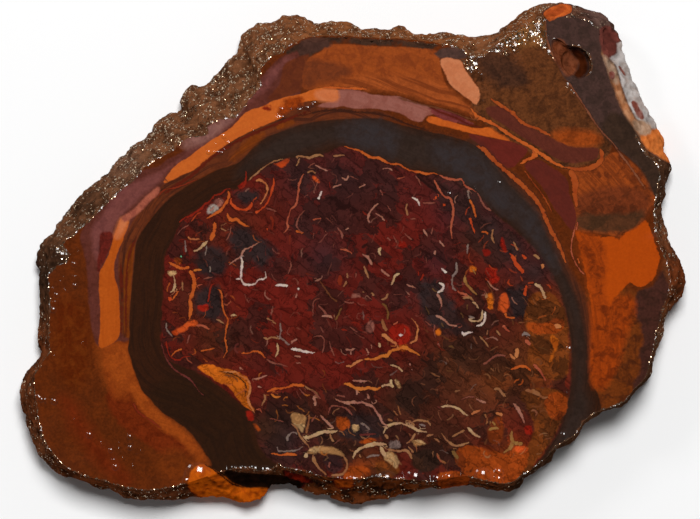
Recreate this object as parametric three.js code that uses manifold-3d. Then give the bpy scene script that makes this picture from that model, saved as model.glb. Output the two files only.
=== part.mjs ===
// A sawn slab of a boulder opal nut: one irregular disc of ironstone with a flat sawn face,
// a flat sawn back, and the nut's own rough skin flaring out all round between them.
// Millimetres, +Z up out of the sawn face, the origin under the middle of the slab on its back.
import * as THREE from "three";
import { mergeVertices } from "three/addons/utils/BufferGeometryUtils.js";
import Module from "manifold-3d";

// Driving dimensions.
const LENGTH = 80.3;
const THICKNESS = 7;
const UNDERCUT = 0.9; // how far the back's edge is inside the widest line of the skin
const BACK_BEVEL = 0.25; // height of the worn corner between the skin and the sawn back
const EDGE_KNOBS = 0.45; // share of the knobs' height that stands out at the widest line

// The widest line of the slab, in pixels of the photograph, clockwise from the left end.
const OUTLINE_PIXELS = [
  [35, 262], [37, 249], [43, 240], [51, 232], [58, 221], [66, 213], [70, 205], [81, 194],
  [91, 183], [99, 175], [107, 171], [113, 160], [121, 154], [128, 147], [139, 141], [150, 131],
  [155, 122], [163, 115], [173, 113], [179, 108], [178, 99], [182, 91], [192, 84], [207, 83],
  [211, 76], [217, 72], [223, 63], [230, 56], [239, 50], [240, 43], [238, 36], [246, 29],
  [255, 23], [270, 23], [277, 18], [283, 13], [290, 15], [298, 14], [305, 17], [311, 20],
  [322, 22], [330, 20], [338, 22], [346, 20], [356, 25], [366, 28], [374, 26], [384, 30],
  [392, 27], [401, 25], [409, 30], [425, 33], [440, 33], [454, 31], [466, 35], [477, 38],
  [488, 36], [495, 32], [502, 30], [507, 23], [512, 17], [524, 12], [536, 6], [547, 2],
  [558, 2], [568, 2], [573, 6], [582, 5], [588, 9], [597, 9], [603, 15], [610, 18],
  [616, 26], [619, 38], [625, 56], [632, 76], [639, 92], [648, 109], [658, 125], [665, 141],
  [667, 154], [671, 161], [672, 172], [667, 183], [667, 193], [664, 203], [665, 218], [669, 235],
  [673, 246], [681, 259], [684, 269], [688, 280], [685, 293], [677, 302], [669, 315], [663, 335],
  [657, 355], [652, 373], [649, 382], [640, 388], [630, 402], [626, 407], [613, 409], [597, 416],
  [587, 424], [581, 436], [570, 444], [560, 449], [550, 461], [541, 468], [526, 480], [518, 490],
  [506, 493], [490, 490], [472, 486], [455, 487], [440, 489], [420, 492], [403, 497], [386, 500],
  [370, 504], [350, 505], [335, 501], [318, 496], [300, 490], [283, 486], [270, 485], [264, 493],
  [259, 502], [248, 505], [233, 501], [215, 498], [195, 498], [172, 500], [150, 502], [130, 500],
  [114, 495], [100, 489], [80, 482], [60, 476], [48, 469], [38, 460], [31, 446], [27, 431],
  [23, 415], [20, 400], [19, 384], [23, 374], [31, 366], [40, 361], [40, 350], [37, 335],
  [38, 318], [37, 300], [36, 284],
];
const PHOTO_MIDDLE = [353.5, 253.5]; // pixel under which the origin lies
const HUB = [350, 262]; // pixel that every ray of the mesh starts from
const OUTLINE_PIXELS_WIDE = 669;
const PIXEL = LENGTH / OUTLINE_PIXELS_WIDE;

// The skin between the sawn face and the widest line: bearing in degrees anticlockwise from
// +X, the width of skin seen from above, how far the widest line lies under the face, and the
// power of the slope. Under 1 the skin drops first and then flares, over 1 it rolls over.
const SKIN = [
  [-180, 1.5, 4.6, 0.8], [-168, 1.4, 4.6, 0.6], [-162, 1.2, 3.8, 0.7], [-159, 1.9, 3.0, 1.3],
  [-152, 1.6, 3.4, 1.0], [-147, 1.8, 4.4, 0.7], [-141, 1.0, 4.6, 0.7], [-133, 1.5, 4.2, 1.1],
  [-127, 2.3, 4.0, 1.4], [-122, 3.6, 4.2, 1.3], [-117, 4.4, 4.4, 0.7], [-111, 4.2, 4.2, 0.42],
  [-109, 2.2, 4.6, 0.4], [-98, 2.4, 4.8, 0.4], [-90, 3.1, 4.8, 0.5], [-84, 3.1, 4.8, 0.5],
  [-78, 2.3, 4.6, 0.5], [-70, 1.0, 4.4, 0.5], [-62, 1.4, 4.2, 0.5], [-56, 1.3, 3.8, 0.8],
  [-50, 0.6, 4.4, 0.6], [-20, 0.5, 4.6, 0.6], [-9, 0.9, 4.0, 0.7], [-4, 2.1, 2.8, 1.0],
  [2, 1.6, 3.5, 0.8], [8, 1.2, 4.4, 0.7], [14, 1.1, 4.2, 0.8], [18, 1.6, 3.6, 1.0],
  [21, 2.9, 2.6, 1.0], [40, 2.7, 2.6, 1.0], [44, 1.7, 3.0, 1.0], [47, 1.4, 3.4, 0.9],
  [50, 2.4, 3.0, 1.0], [53, 2.8, 3.2, 1.0], [56, 4.0, 3.4, 1.2], [58, 3.2, 3.4, 1.1],
  [62, 1.7, 3.8, 0.9], [80, 1.6, 4.0, 0.8], [90, 1.9, 4.0, 0.8], [97, 2.4, 4.2, 0.9],
  [104, 3.7, 4.4, 1.0], [110, 4.0, 4.4, 1.0], [117, 5.4, 4.6, 1.0], [132, 5.4, 4.6, 1.0],
  [141, 4.2, 4.6, 1.0], [150, 3.4, 4.4, 1.0], [170, 3.4, 4.2, 1.0], [176, 2.4, 4.4, 0.9],
  [180, 1.5, 4.6, 0.8],
];

// Knobs of the skin, rounded lumps with creases between them: wave vector in radians a
// millimetre, phase, and height.
const KNOBS = [
  [[0.75, 0.3, 0.5], 0.4, 0.2], [[-0.45, 0.8, 0.7], 2.1, 0.2], [[0.5, -0.9, 0.3], 4.0, 0.16],
  [[1.3, 0.9, 1.1], 1.2, 0.12], [[-0.9, 1.3, -0.8], 5.2, 0.12], [[0.2, -0.3, 1.3], 3.3, 0.24],
];

// Hollows in the face's edge and the skin: pixel of the middle, radius and depth. The lower
// left corner is broken lower than the saw's plane, the upper left skin has steps between its
// knobs, and the lip at the bottom hangs over a gap.
const HOLLOWS = [
  [[62, 405], 8.5, 0.5], [[112, 462], 8.5, 0.6], [[186, 486], 4.2, 0.7], [[44, 412], 3.2, 0.35],
  [[76, 448], 3.6, 0.3], [[136, 484], 3.4, 0.35],
  [[183, 112], 1.9, 0.9], [[214, 82], 1.9, 0.9], [[246, 42], 1.8, 0.9], [[128, 152], 1.6, 0.6],
  [[150, 136], 1.5, 0.6], [[100, 182], 1.6, 0.6], [[70, 218], 1.7, 0.7], [[44, 262], 1.8, 0.8],
  [[246, 484], 2.4, 0.9], [[330, 494], 2.0, 0.5], [[402, 488], 2.0, 0.5], [[664, 226], 1.9, 0.6],
];

// Natural pockets: pixel of the middle, half length and half width, depth under the rim, height
// of the rim, and bearing of the long axis. The first two run into each other.
const POCKETS = [
  { pixel: [576, 62], half: [2.1, 1.7], depth: 1.7, rim: THICKNESS, bearing: -50 },
  { pixel: [562, 50], half: [1.7, 0.8], depth: 0.8, rim: THICKNESS, bearing: -50 },
  { pixel: [613, 45], half: [2.3, 1.05], depth: 1.1, rim: THICKNESS - 1.5, bearing: -66 },
];

const RAYS = 240;
const FACE_RINGS = [0.3, 0.55, 0.74, 0.86, 0.94, 1];
const SKIN_RINGS = [0.1, 0.26, 0.44, 0.62, 0.81, 1];
const WALL_RINGS = [0.35, 0.7, 1];
const BACK_RINGS = [0.5];

const radians = (degrees) => (degrees * Math.PI) / 180;
const mix = (a, b, share) => a + (b - a) * share;

// A photo pixel as millimetres in the slab's own frame.
function place([x, y]) {
  return new THREE.Vector2((x - PHOTO_MIDDLE[0]) * PIXEL, (PHOTO_MIDDLE[1] - y) * PIXEL);
}

const hub = place(HUB);

// The outline as bearing and radius from the hub, in order of bearing.
const OUTLINE = OUTLINE_PIXELS.map((pixel) => {
  const arm = place(pixel).sub(hub);
  return [(Math.atan2(arm.y, arm.x) * 180) / Math.PI, arm.length()];
}).sort((a, b) => a[0] - b[0]);
const last = OUTLINE[OUTLINE.length - 1];
const first = OUTLINE[0];
OUTLINE.unshift([last[0] - 360, last[1]]);
OUTLINE.push([first[0] + 360, first[1]]);

// Reads a table whose rows start with a bearing, with straight steps between its rows.
function readAt(table, bearing) {
  const next = table.findIndex((row, i) => i > 0 && row[0] >= bearing);
  const [a, b] = [table[next - 1], table[next]];
  const share = (bearing - a[0]) / (b[0] - a[0]);
  return a.slice(1).map((value, i) => mix(value, b[i + 1], share));
}

function knob(point) {
  return KNOBS.reduce(
    (sum, [wave, phase, height]) =>
      sum + height * (2 * Math.abs(Math.sin(new THREE.Vector3(...wave).dot(point) + phase)) - 1.27),
    0,
  );
}

function hollow(x, y) {
  return HOLLOWS.reduce((sum, [pixel, radius, depth]) => {
    const far = place(pixel).distanceTo(new THREE.Vector2(x, y)) / radius;
    return far < 1 ? sum + depth * (1 - far * far) ** 2 : sum;
  }, 0);
}

// One ray from the middle of the face, over the skin and under to the middle of the back.
function ray(bearing) {
  const [reach] = readAt(OUTLINE, bearing);
  const [width, drop, power] = readAt(SKIN, bearing);
  const way = new THREE.Vector2(Math.cos(radians(bearing)), Math.sin(radians(bearing)));
  const at = (radius, z) =>
    new THREE.Vector3(hub.x + way.x * radius, hub.y + way.y * radius, z);
  const face = FACE_RINGS.map((share) => {
    const point = at((reach - width) * share, THICKNESS);
    point.z -= hollow(point.x, point.y);
    return point;
  });
  const edge = face[face.length - 1].z;
  const widest = THICKNESS - drop;
  const skin = SKIN_RINGS.map((share) => {
    const point = at(reach - width * (1 - share), mix(edge, widest, share ** power));
    const bump = knob(point) * Math.min(1, share * 3);
    point.x += way.x * bump * share * EDGE_KNOBS;
    point.y += way.y * bump * share * EDGE_KNOBS;
    point.z += bump * (1 - share) - hollow(point.x, point.y);
    point.z = Math.min(point.z, THICKNESS - share * 0.1);
    return point;
  });
  const wall = WALL_RINGS.map((share) => {
    const point = at(reach - UNDERCUT * share ** 2, mix(widest, BACK_BEVEL, share));
    const bump = knob(point) * mix(EDGE_KNOBS, 1, Math.sin(Math.PI * share));
    point.x += way.x * bump;
    point.y += way.y * bump;
    return point;
  });
  const foot = at(reach - UNDERCUT - BACK_BEVEL, 0);
  const back = BACK_RINGS.map((share) => at((reach - UNDERCUT) * share, 0));
  return [...face, ...skin, ...wall, foot, ...back];
}

// Closes the rays into one skin of triangles with a point in the middle of each sawn face.
function slabGeometry() {
  const rays = Array.from({ length: RAYS }, (_, i) => ray(-180 + (360 * i) / RAYS));
  const rings = rays[0].length;
  const top = new THREE.Vector3(hub.x, hub.y, THICKNESS);
  const bottom = new THREE.Vector3(hub.x, hub.y, 0);
  const points = [top, ...rays.flat(), bottom];
  const at = (i, ring) => 1 + (i % RAYS) * rings + ring;
  const faces = [];
  for (let i = 0; i < RAYS; i++) {
    faces.push(0, at(i, 0), at(i + 1, 0));
    for (let ring = 0; ring < rings - 1; ring++) {
      const [a, b] = [at(i, ring), at(i, ring + 1)];
      const [c, d] = [at(i + 1, ring), at(i + 1, ring + 1)];
      faces.push(a, b, d, a, d, c);
    }
    faces.push(at(i, rings - 1), points.length - 1, at(i + 1, rings - 1));
  }
  const geometry = new THREE.BufferGeometry().setFromPoints(points);
  geometry.setIndex(faces);
  return geometry;
}

// A pocket as a flattened ball, turned and set into the face so deep that it opens its full
// width at the rim.
function pocketGeometry({ pixel, half, depth, rim, bearing }) {
  const ball = new THREE.SphereGeometry(1, 20, 14);
  ball.rotateX(Math.PI / 2);
  ball.scale(half[0], half[1], depth);
  ball.rotateZ(radians(bearing));
  const middle = place(pixel);
  ball.translate(middle.x, middle.y, rim);
  return ball;
}

const wasm = await Module();
wasm.setup();

function solidOf(geometry) {
  geometry.deleteAttribute("normal");
  geometry.deleteAttribute("uv");
  const merged = mergeVertices(geometry, 1e-4);
  return new wasm.Manifold(
    new wasm.Mesh({
      numProp: 3,
      vertProperties: merged.attributes.position.array,
      triVerts: new Uint32Array(merged.index.array),
    }),
  );
}

function geometryOf(solid) {
  const mesh = solid.getMesh();
  const geometry = new THREE.BufferGeometry();
  geometry.setAttribute("position", new THREE.BufferAttribute(mesh.vertProperties, 3));
  geometry.setIndex(new THREE.BufferAttribute(mesh.triVerts, 1));
  geometry.computeVertexNormals();
  return geometry;
}

const carved = POCKETS.reduce(
  (solid, pocket) => solid.subtract(solidOf(pocketGeometry(pocket))),
  solidOf(slabGeometry()),
);

const ironstone = new THREE.MeshStandardMaterial({
  color: new THREE.Color(0.24, 0.08, 0.035),
  roughness: 0.25,
  metalness: 0,
});
const slab = new THREE.Mesh(geometryOf(carved), ironstone);
slab.name = "opal_nut_slab";

const part = new THREE.Group();
part.add(slab);
export default part;
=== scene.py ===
"""Rough opal nut slab: banded ironstone round a veined opal core, sawn flat and wet on its face,
with the nut's own rough skin all round. Metres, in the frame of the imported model."""
import math
import random

import bpy
import numpy as np
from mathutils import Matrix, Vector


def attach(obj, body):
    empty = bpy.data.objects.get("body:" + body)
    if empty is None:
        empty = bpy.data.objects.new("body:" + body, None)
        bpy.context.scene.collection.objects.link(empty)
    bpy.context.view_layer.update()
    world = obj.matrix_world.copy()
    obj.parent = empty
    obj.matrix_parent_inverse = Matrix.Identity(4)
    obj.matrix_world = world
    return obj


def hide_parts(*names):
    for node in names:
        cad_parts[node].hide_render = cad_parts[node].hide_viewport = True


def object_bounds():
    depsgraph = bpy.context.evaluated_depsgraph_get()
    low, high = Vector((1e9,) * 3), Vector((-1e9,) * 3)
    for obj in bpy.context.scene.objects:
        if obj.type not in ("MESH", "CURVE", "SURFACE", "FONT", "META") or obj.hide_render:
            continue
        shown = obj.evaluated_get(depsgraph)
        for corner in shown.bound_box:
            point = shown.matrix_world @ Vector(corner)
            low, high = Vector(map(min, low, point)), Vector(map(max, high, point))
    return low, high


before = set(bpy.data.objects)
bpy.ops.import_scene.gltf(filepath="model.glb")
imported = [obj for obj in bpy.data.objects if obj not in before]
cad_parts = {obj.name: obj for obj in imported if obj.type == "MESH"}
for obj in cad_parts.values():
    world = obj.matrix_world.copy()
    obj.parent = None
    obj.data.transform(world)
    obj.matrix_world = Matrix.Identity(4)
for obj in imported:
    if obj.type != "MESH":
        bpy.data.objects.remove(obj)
cad_low, cad_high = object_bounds()

MM = 0.001
SLAB_LONG = 80.3  # millimetres
SLAB_PIXELS = 669  # the same length in the photograph
PIXEL = SLAB_LONG / SLAB_PIXELS  # millimetres for a pixel
PHOTO_MIDDLE = (353.5, 253.5)  # the pixel that the origin lies under
PHOTO_CENTRE = (350.0, 259.5)  # the middle of the whole photograph
PHOTO_WIDE = 700
LENS = 300.0
SENSOR = 36.0
FACE_HEIGHT = cad_high.z
COARSE = 0.44 * MM  # edge length of the stone's mesh on the bands, halved on the core and the skin
SHEETS = 13  # just enough to lay every patch above the ones it overlaps
OVERLAP = 0.35  # two patches that overlap by no more, in millimetres, may lie in either order
SKIN_DEPTH = 3.0  # millimetres from the rim within which the way in or out is measured
BAND_STRENGTH = 0.9  # how strongly the drawn lines of the bands show
VEIN_STRENGTH = 0.85
LINE_REACH = 0.9  # millimetres round a line in which the mesh knows of it
LINE_HALO = 0.22  # millimetres outside a line from which its stored half width falls off
LINE_TAPER = 6  # a line narrows over the first and the last sixth of its length
LINE_CLOSED = -0.12  # half width past a line's ends, where nothing shows
WORM_GAP = 0.42  # millimetres kept between the fine strokes of the core
WORM_STEP = 3.6  # pixels from one bend of a fine stroke to the next
BEAD_SLOPE = 0.6  # of a bead of water at its border
BEAD_GLINT = 0.37  # how far from a bead's middle its glint lies, as a share of its radius
WET_GRAIN = (0.55, 0.4, 0.26, 1.0)  # what single wet grains mirror
GRAIN_SIZES = ((0.4, 0.4, 0.4), (0.15, 0.2, 1.0))  # millimetres, then the lean of dull and of bright grains
DUST = (0.22, 0.14, 0.1, 1.0)  # on the dry back
VEIN_RIM = (0.01, 0.004, 0.003, 1.0)  # the dark border of a vein
HORIZON_LIGHT = 0.26
OVERHEAD_LIGHT = 0.02

# The kinds of stone: colour, the colour it is flecked with, then how streaked, mottled and grainy it is.
# Colours are screen values from 0 to 255.
STONES = {
    "skin": ((106, 66, 42), (72, 44, 28), 0.0, 0.9, 0.9),
    "skin_grey": ((104, 76, 60), (70, 48, 38), 0.0, 0.9, 0.9),
    "skin_dark": ((60, 39, 27), (36, 24, 17), 0.0, 0.8, 0.7),
    "skin_rust": ((98, 44, 18), (56, 25, 11), 0.0, 0.9, 0.72),
    "skin_ginger": ((120, 70, 38), (84, 46, 24), 0.0, 0.9, 0.84),
    "low_brown": ((82, 34, 9), (96, 40, 10), 0.3, 0.9, 0.6),
    "low_red": ((108, 38, 10), (88, 28, 6), 0.4, 0.9, 0.5),
    "low_rust": ((84, 29, 4), (100, 42, 8), 0.4, 0.9, 0.5),
    "low_orange": ((148, 66, 18), (128, 54, 14), 0.5, 0.9, 0.4),
    "tan_orange": ((112, 48, 12), (92, 38, 10), 0.2, 0.9, 0.5),
    "mauve_brown": ((92, 45, 36), (76, 34, 24), 0.3, 0.7, 0.4),
    "mauve": ((114, 62, 56), (96, 50, 46), 0.3, 0.7, 0.3),
    "mauve_blue": ((134, 90, 80), (112, 70, 64), 0.3, 0.7, 0.3),
    "mauve_red": ((96, 30, 22), (72, 24, 18), 0.2, 0.8, 0.7),
    "orange_left": ((172, 78, 20), (156, 66, 14), 0.5, 0.4, 0.2),
    "orange_main": ((188, 92, 33), (180, 84, 30), 0.6, 0.6, 0.2),
    "peach": ((190, 102, 58), (196, 114, 72), 0.3, 0.5, 0.2),
    "peach_dash": ((164, 88, 66), (134, 66, 52), 0.3, 0.8, 0.3),
    "lined_brown": ((100, 46, 22), (66, 30, 18), 1.0, 0.5, 0.3),
    "ochre": ((118, 53, 12), (96, 42, 12), 0.8, 0.5, 0.3),
    "umber": ((52, 26, 13), (40, 21, 12), 0.8, 0.4, 0.3),
    "umber_low": ((45, 24, 12), (34, 19, 11), 0.6, 0.5, 0.3),
    "slate": ((50, 42, 42), (48, 36, 33), 0.5, 1.0, 0.3),
    "slate_brown": ((50, 36, 30), (42, 29, 23), 0.6, 0.9, 0.3),
    "block": ((146, 67, 24), (120, 52, 20), 0.4, 0.9, 0.3),
    "block_dark": ((116, 53, 24), (96, 44, 22), 0.4, 0.9, 0.3),
    "block_pink": ((156, 74, 30), (118, 52, 20), 1.0, 0.5, 0.3),
    "triangle": ((98, 44, 22), (80, 34, 20), 0.3, 0.7, 0.3),
    "triangle_grey": ((72, 45, 36), (56, 34, 27), 0.2, 0.7, 0.4),
    "peach_patch": ((190, 115, 76), (176, 96, 58), 0.1, 0.5, 0.2),
    "grey_patch": ((80, 54, 46), (60, 42, 36), 0.2, 0.7, 0.5),
    "pink_lens": ((142, 86, 74), (124, 66, 54), 0.4, 0.6, 0.2),
    "purple_strip": ((98, 36, 34), (126, 58, 54), 0.6, 0.7, 0.3),
    "orange_right": ((188, 88, 28), (164, 70, 22), 0.6, 0.4, 0.2),
    "maroon_lens": ((98, 33, 25), (82, 28, 20), 0.4, 0.5, 0.2),
    "maroon_lens_low": ((84, 32, 24), (98, 36, 26), 0.4, 0.5, 0.2),
    "wedge": ((90, 40, 28), (76, 32, 24), 0.5, 0.5, 0.3),
    "granular": ((96, 52, 26), (58, 30, 14), 0.0, 1.0, 1.0),
    "granular_dark": ((70, 40, 25), (54, 31, 20), 0.0, 0.9, 0.8),
    # gold granular stone by the top rim: partly its own colour, partly painted sheen, lightened to stand for
    # the glints clustered there
    "granular_gold_and_sheen": ((130, 82, 42), (90, 52, 22), 0.0, 1.0, 0.95),
    "glow": ((146, 63, 18), (114, 48, 13), 0.3, 0.9, 0.6),
    "plum": ((68, 46, 40), (52, 36, 30), 0.1, 0.8, 0.5),
    "plum_brown": ((56, 38, 28), (44, 30, 22), 0.1, 0.7, 0.5),
    "plum_pink": ((88, 64, 56), (70, 50, 44), 0.1, 0.7, 0.5),
    "pit_floor": ((116, 62, 38), (84, 38, 18), 0.0, 0.8, 0.4),
    # painted shade: the dark colour on one wall of the larger pit, where it lies in shadow
    "pit_painted_shade": ((60, 24, 8), (40, 16, 7), 0.0, 0.6, 0.3),
    "pit_mauve": ((100, 50, 42), (72, 38, 32), 0.0, 0.7, 0.3),
    "facet_cream": ((160, 130, 108), (138, 102, 76), 0.0, 0.7, 0.1),
    "facet_white": ((166, 158, 154), (148, 132, 124), 0.0, 0.8, 0.1),
    "facet_tan": ((148, 94, 60), (170, 120, 86), 0.0, 0.9, 0.1),
    "facet_maroon": ((108, 56, 46), (136, 90, 80), 0.0, 0.8, 0.1),
    "facet_orange": ((196, 108, 50), (172, 86, 36), 0.0, 0.6, 0.1),
    "chip_orange": ((172, 80, 32), (140, 58, 24), 0.0, 0.9, 0.3),
    "round_top": ((146, 65, 22), (96, 40, 15), 0.7, 1.0, 0.4),
    "round_mid": ((112, 49, 22), (80, 35, 16), 0.5, 1.0, 0.5),
    "round_low": ((82, 46, 26), (62, 38, 22), 0.2, 0.9, 0.5),
    "bright_block": ((168, 66, 8), (158, 60, 8), 0.1, 0.3, 0.2),
    "bright_streaky": ((150, 58, 10), (104, 38, 8), 0.5, 1.0, 0.4),
    "right_grain": ((104, 48, 14), (72, 32, 12), 0.1, 1.0, 0.6),
    "right_margin": ((66, 35, 27), (50, 28, 20), 0.1, 0.8, 0.6),
    "corner": ((104, 54, 26), (76, 40, 20), 0.1, 0.8, 0.6),
    "stripe_brown": ((94, 42, 18), (68, 32, 18), 1.0, 0.5, 0.3),
    "deep_red": ((84, 14, 6), (60, 10, 6), 0.2, 0.6, 0.3),
    # lobe: its orange is partly real and partly painted light, raised so the lobe, which slopes away from
    # the lamp, still looks brightly lit
    "lobe": ((196, 90, 12), (156, 64, 10), 0.4, 0.9, 0.1),
    "lip": ((112, 52, 20), (36, 18, 10), 0.0, 1.0, 0.75),
    # gap: painted shadow, a near-black stone under the lip where the face drops to the lobe
    "gap": ((30, 15, 8), (20, 11, 7), 0.0, 0.8, 0.3),
    "wall_orange": ((170, 72, 16), (120, 44, 12), 0.0, 1.0, 0.2),
    "wall_red": ((140, 34, 16), (90, 22, 12), 0.0, 1.0, 0.2),
    "top_margin": ((66, 42, 30), (46, 30, 22), 0.3, 0.9, 0.5),
    "ember_stone": ((128, 34, 12), (104, 26, 10), 0.0, 0.8, 0.2),
    "granular_low": ((94, 51, 24), (72, 38, 18), 0.0, 1.0, 0.8),
    "skin_plum": ((70, 50, 46), (46, 33, 31), 0.0, 0.9, 0.72),
    "core_slate": ((46, 32, 31), (48, 29, 26), 0.0, 0.9, 0.2),
    "core_red": ((96, 24, 16), (62, 25, 20), 0.0, 0.9, 0.2),
    "core_rust": ((86, 28, 16), (58, 28, 22), 0.0, 0.9, 0.2),
    "core_plum": ((60, 30, 28), (48, 27, 26), 0.0, 0.9, 0.2),
    "core_brown": ((68, 36, 20), (50, 28, 18), 0.0, 0.9, 0.3),
    "core_umber": ((54, 31, 20), (42, 25, 18), 0.0, 0.8, 0.3),
    "core_tan": ((96, 50, 28), (62, 34, 20), 0.0, 0.9, 0.4),
    "core_orange": ((146, 60, 16), (104, 42, 14), 0.0, 0.9, 0.4),
    "core_amber": ((114, 55, 19), (76, 38, 15), 0.0, 0.9, 0.5),
    "core_night": ((46, 30, 34), (38, 24, 26), 0.0, 0.7, 0.2),
    "vein_gold": ((184, 90, 20), (168, 76, 16), 0.0, 0.9, 0.1),
    "vein_fire": ((188, 74, 28), (160, 54, 16), 0.0, 0.9, 0.1),
    "vein_cream": ((176, 136, 92), (150, 104, 62), 0.0, 0.9, 0.1),
    "vein_red": ((136, 27, 14), (104, 18, 10), 0.0, 0.9, 0.1),
    "vein_rose": ((136, 82, 68), (112, 62, 52), 0.0, 0.9, 0.1),
    "vein_mauve": ((146, 122, 114), (120, 96, 88), 0.0, 0.9, 0.1),
    "vein_ash": ((150, 134, 124), (120, 100, 92), 0.0, 0.6, 0.1),
}

# Outlines of the bands and patches, in pixels, x then y. The dark band follows the nut's core.
DARK_EDGE = (
    129, 320, 131, 293, 134, 260, 136, 242, 140, 233, 146, 225, 154, 215, 164, 203, 175, 192, 188, 185,
    200, 179, 214, 171, 226, 165, 239, 162, 250, 151, 258, 142, 270, 135, 285, 130, 296, 124, 318, 121,
    333, 119, 377, 118, 392, 122, 414, 128, 436, 133, 460, 139, 474, 145, 483, 149, 490, 156, 500, 168,
    513, 177, 529, 192, 540, 206, 550, 228, 560, 247, 566, 264, 575, 280, 585, 300, 592, 323, 590, 348,
    590, 380, 600, 400, 600, 440, 560, 480, 500, 520, 300, 520, 215, 520, 212, 464, 207, 457, 201, 447,
    194, 437, 187, 429, 176, 421, 166, 415, 157, 407, 150, 399, 143, 392, 138, 381, 134, 371, 131, 360,
    128, 351, 129, 339,
)
CORE_EDGE = (
    190, 369, 176, 364, 168, 358, 164, 350, 161, 340, 161, 326, 162, 313, 163, 296, 162, 284, 164, 272,
    165, 258, 170, 245, 176, 234, 184, 218, 201, 208, 223, 192, 241, 188, 252, 176, 268, 165, 290, 158,
    321, 156, 343, 146, 372, 157, 395, 164, 421, 173, 439, 175, 457, 180, 476, 191, 492, 211, 508, 224,
    522, 236, 536, 250, 548, 266, 558, 286, 566, 312, 571, 345, 571, 380, 567, 405, 561, 428, 549, 446,
    536, 464, 522, 482, 500, 500, 300, 500, 284, 470, 266, 456, 257, 441, 254, 424, 251, 412, 238, 402,
    226, 391, 210, 379,
)

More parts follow.
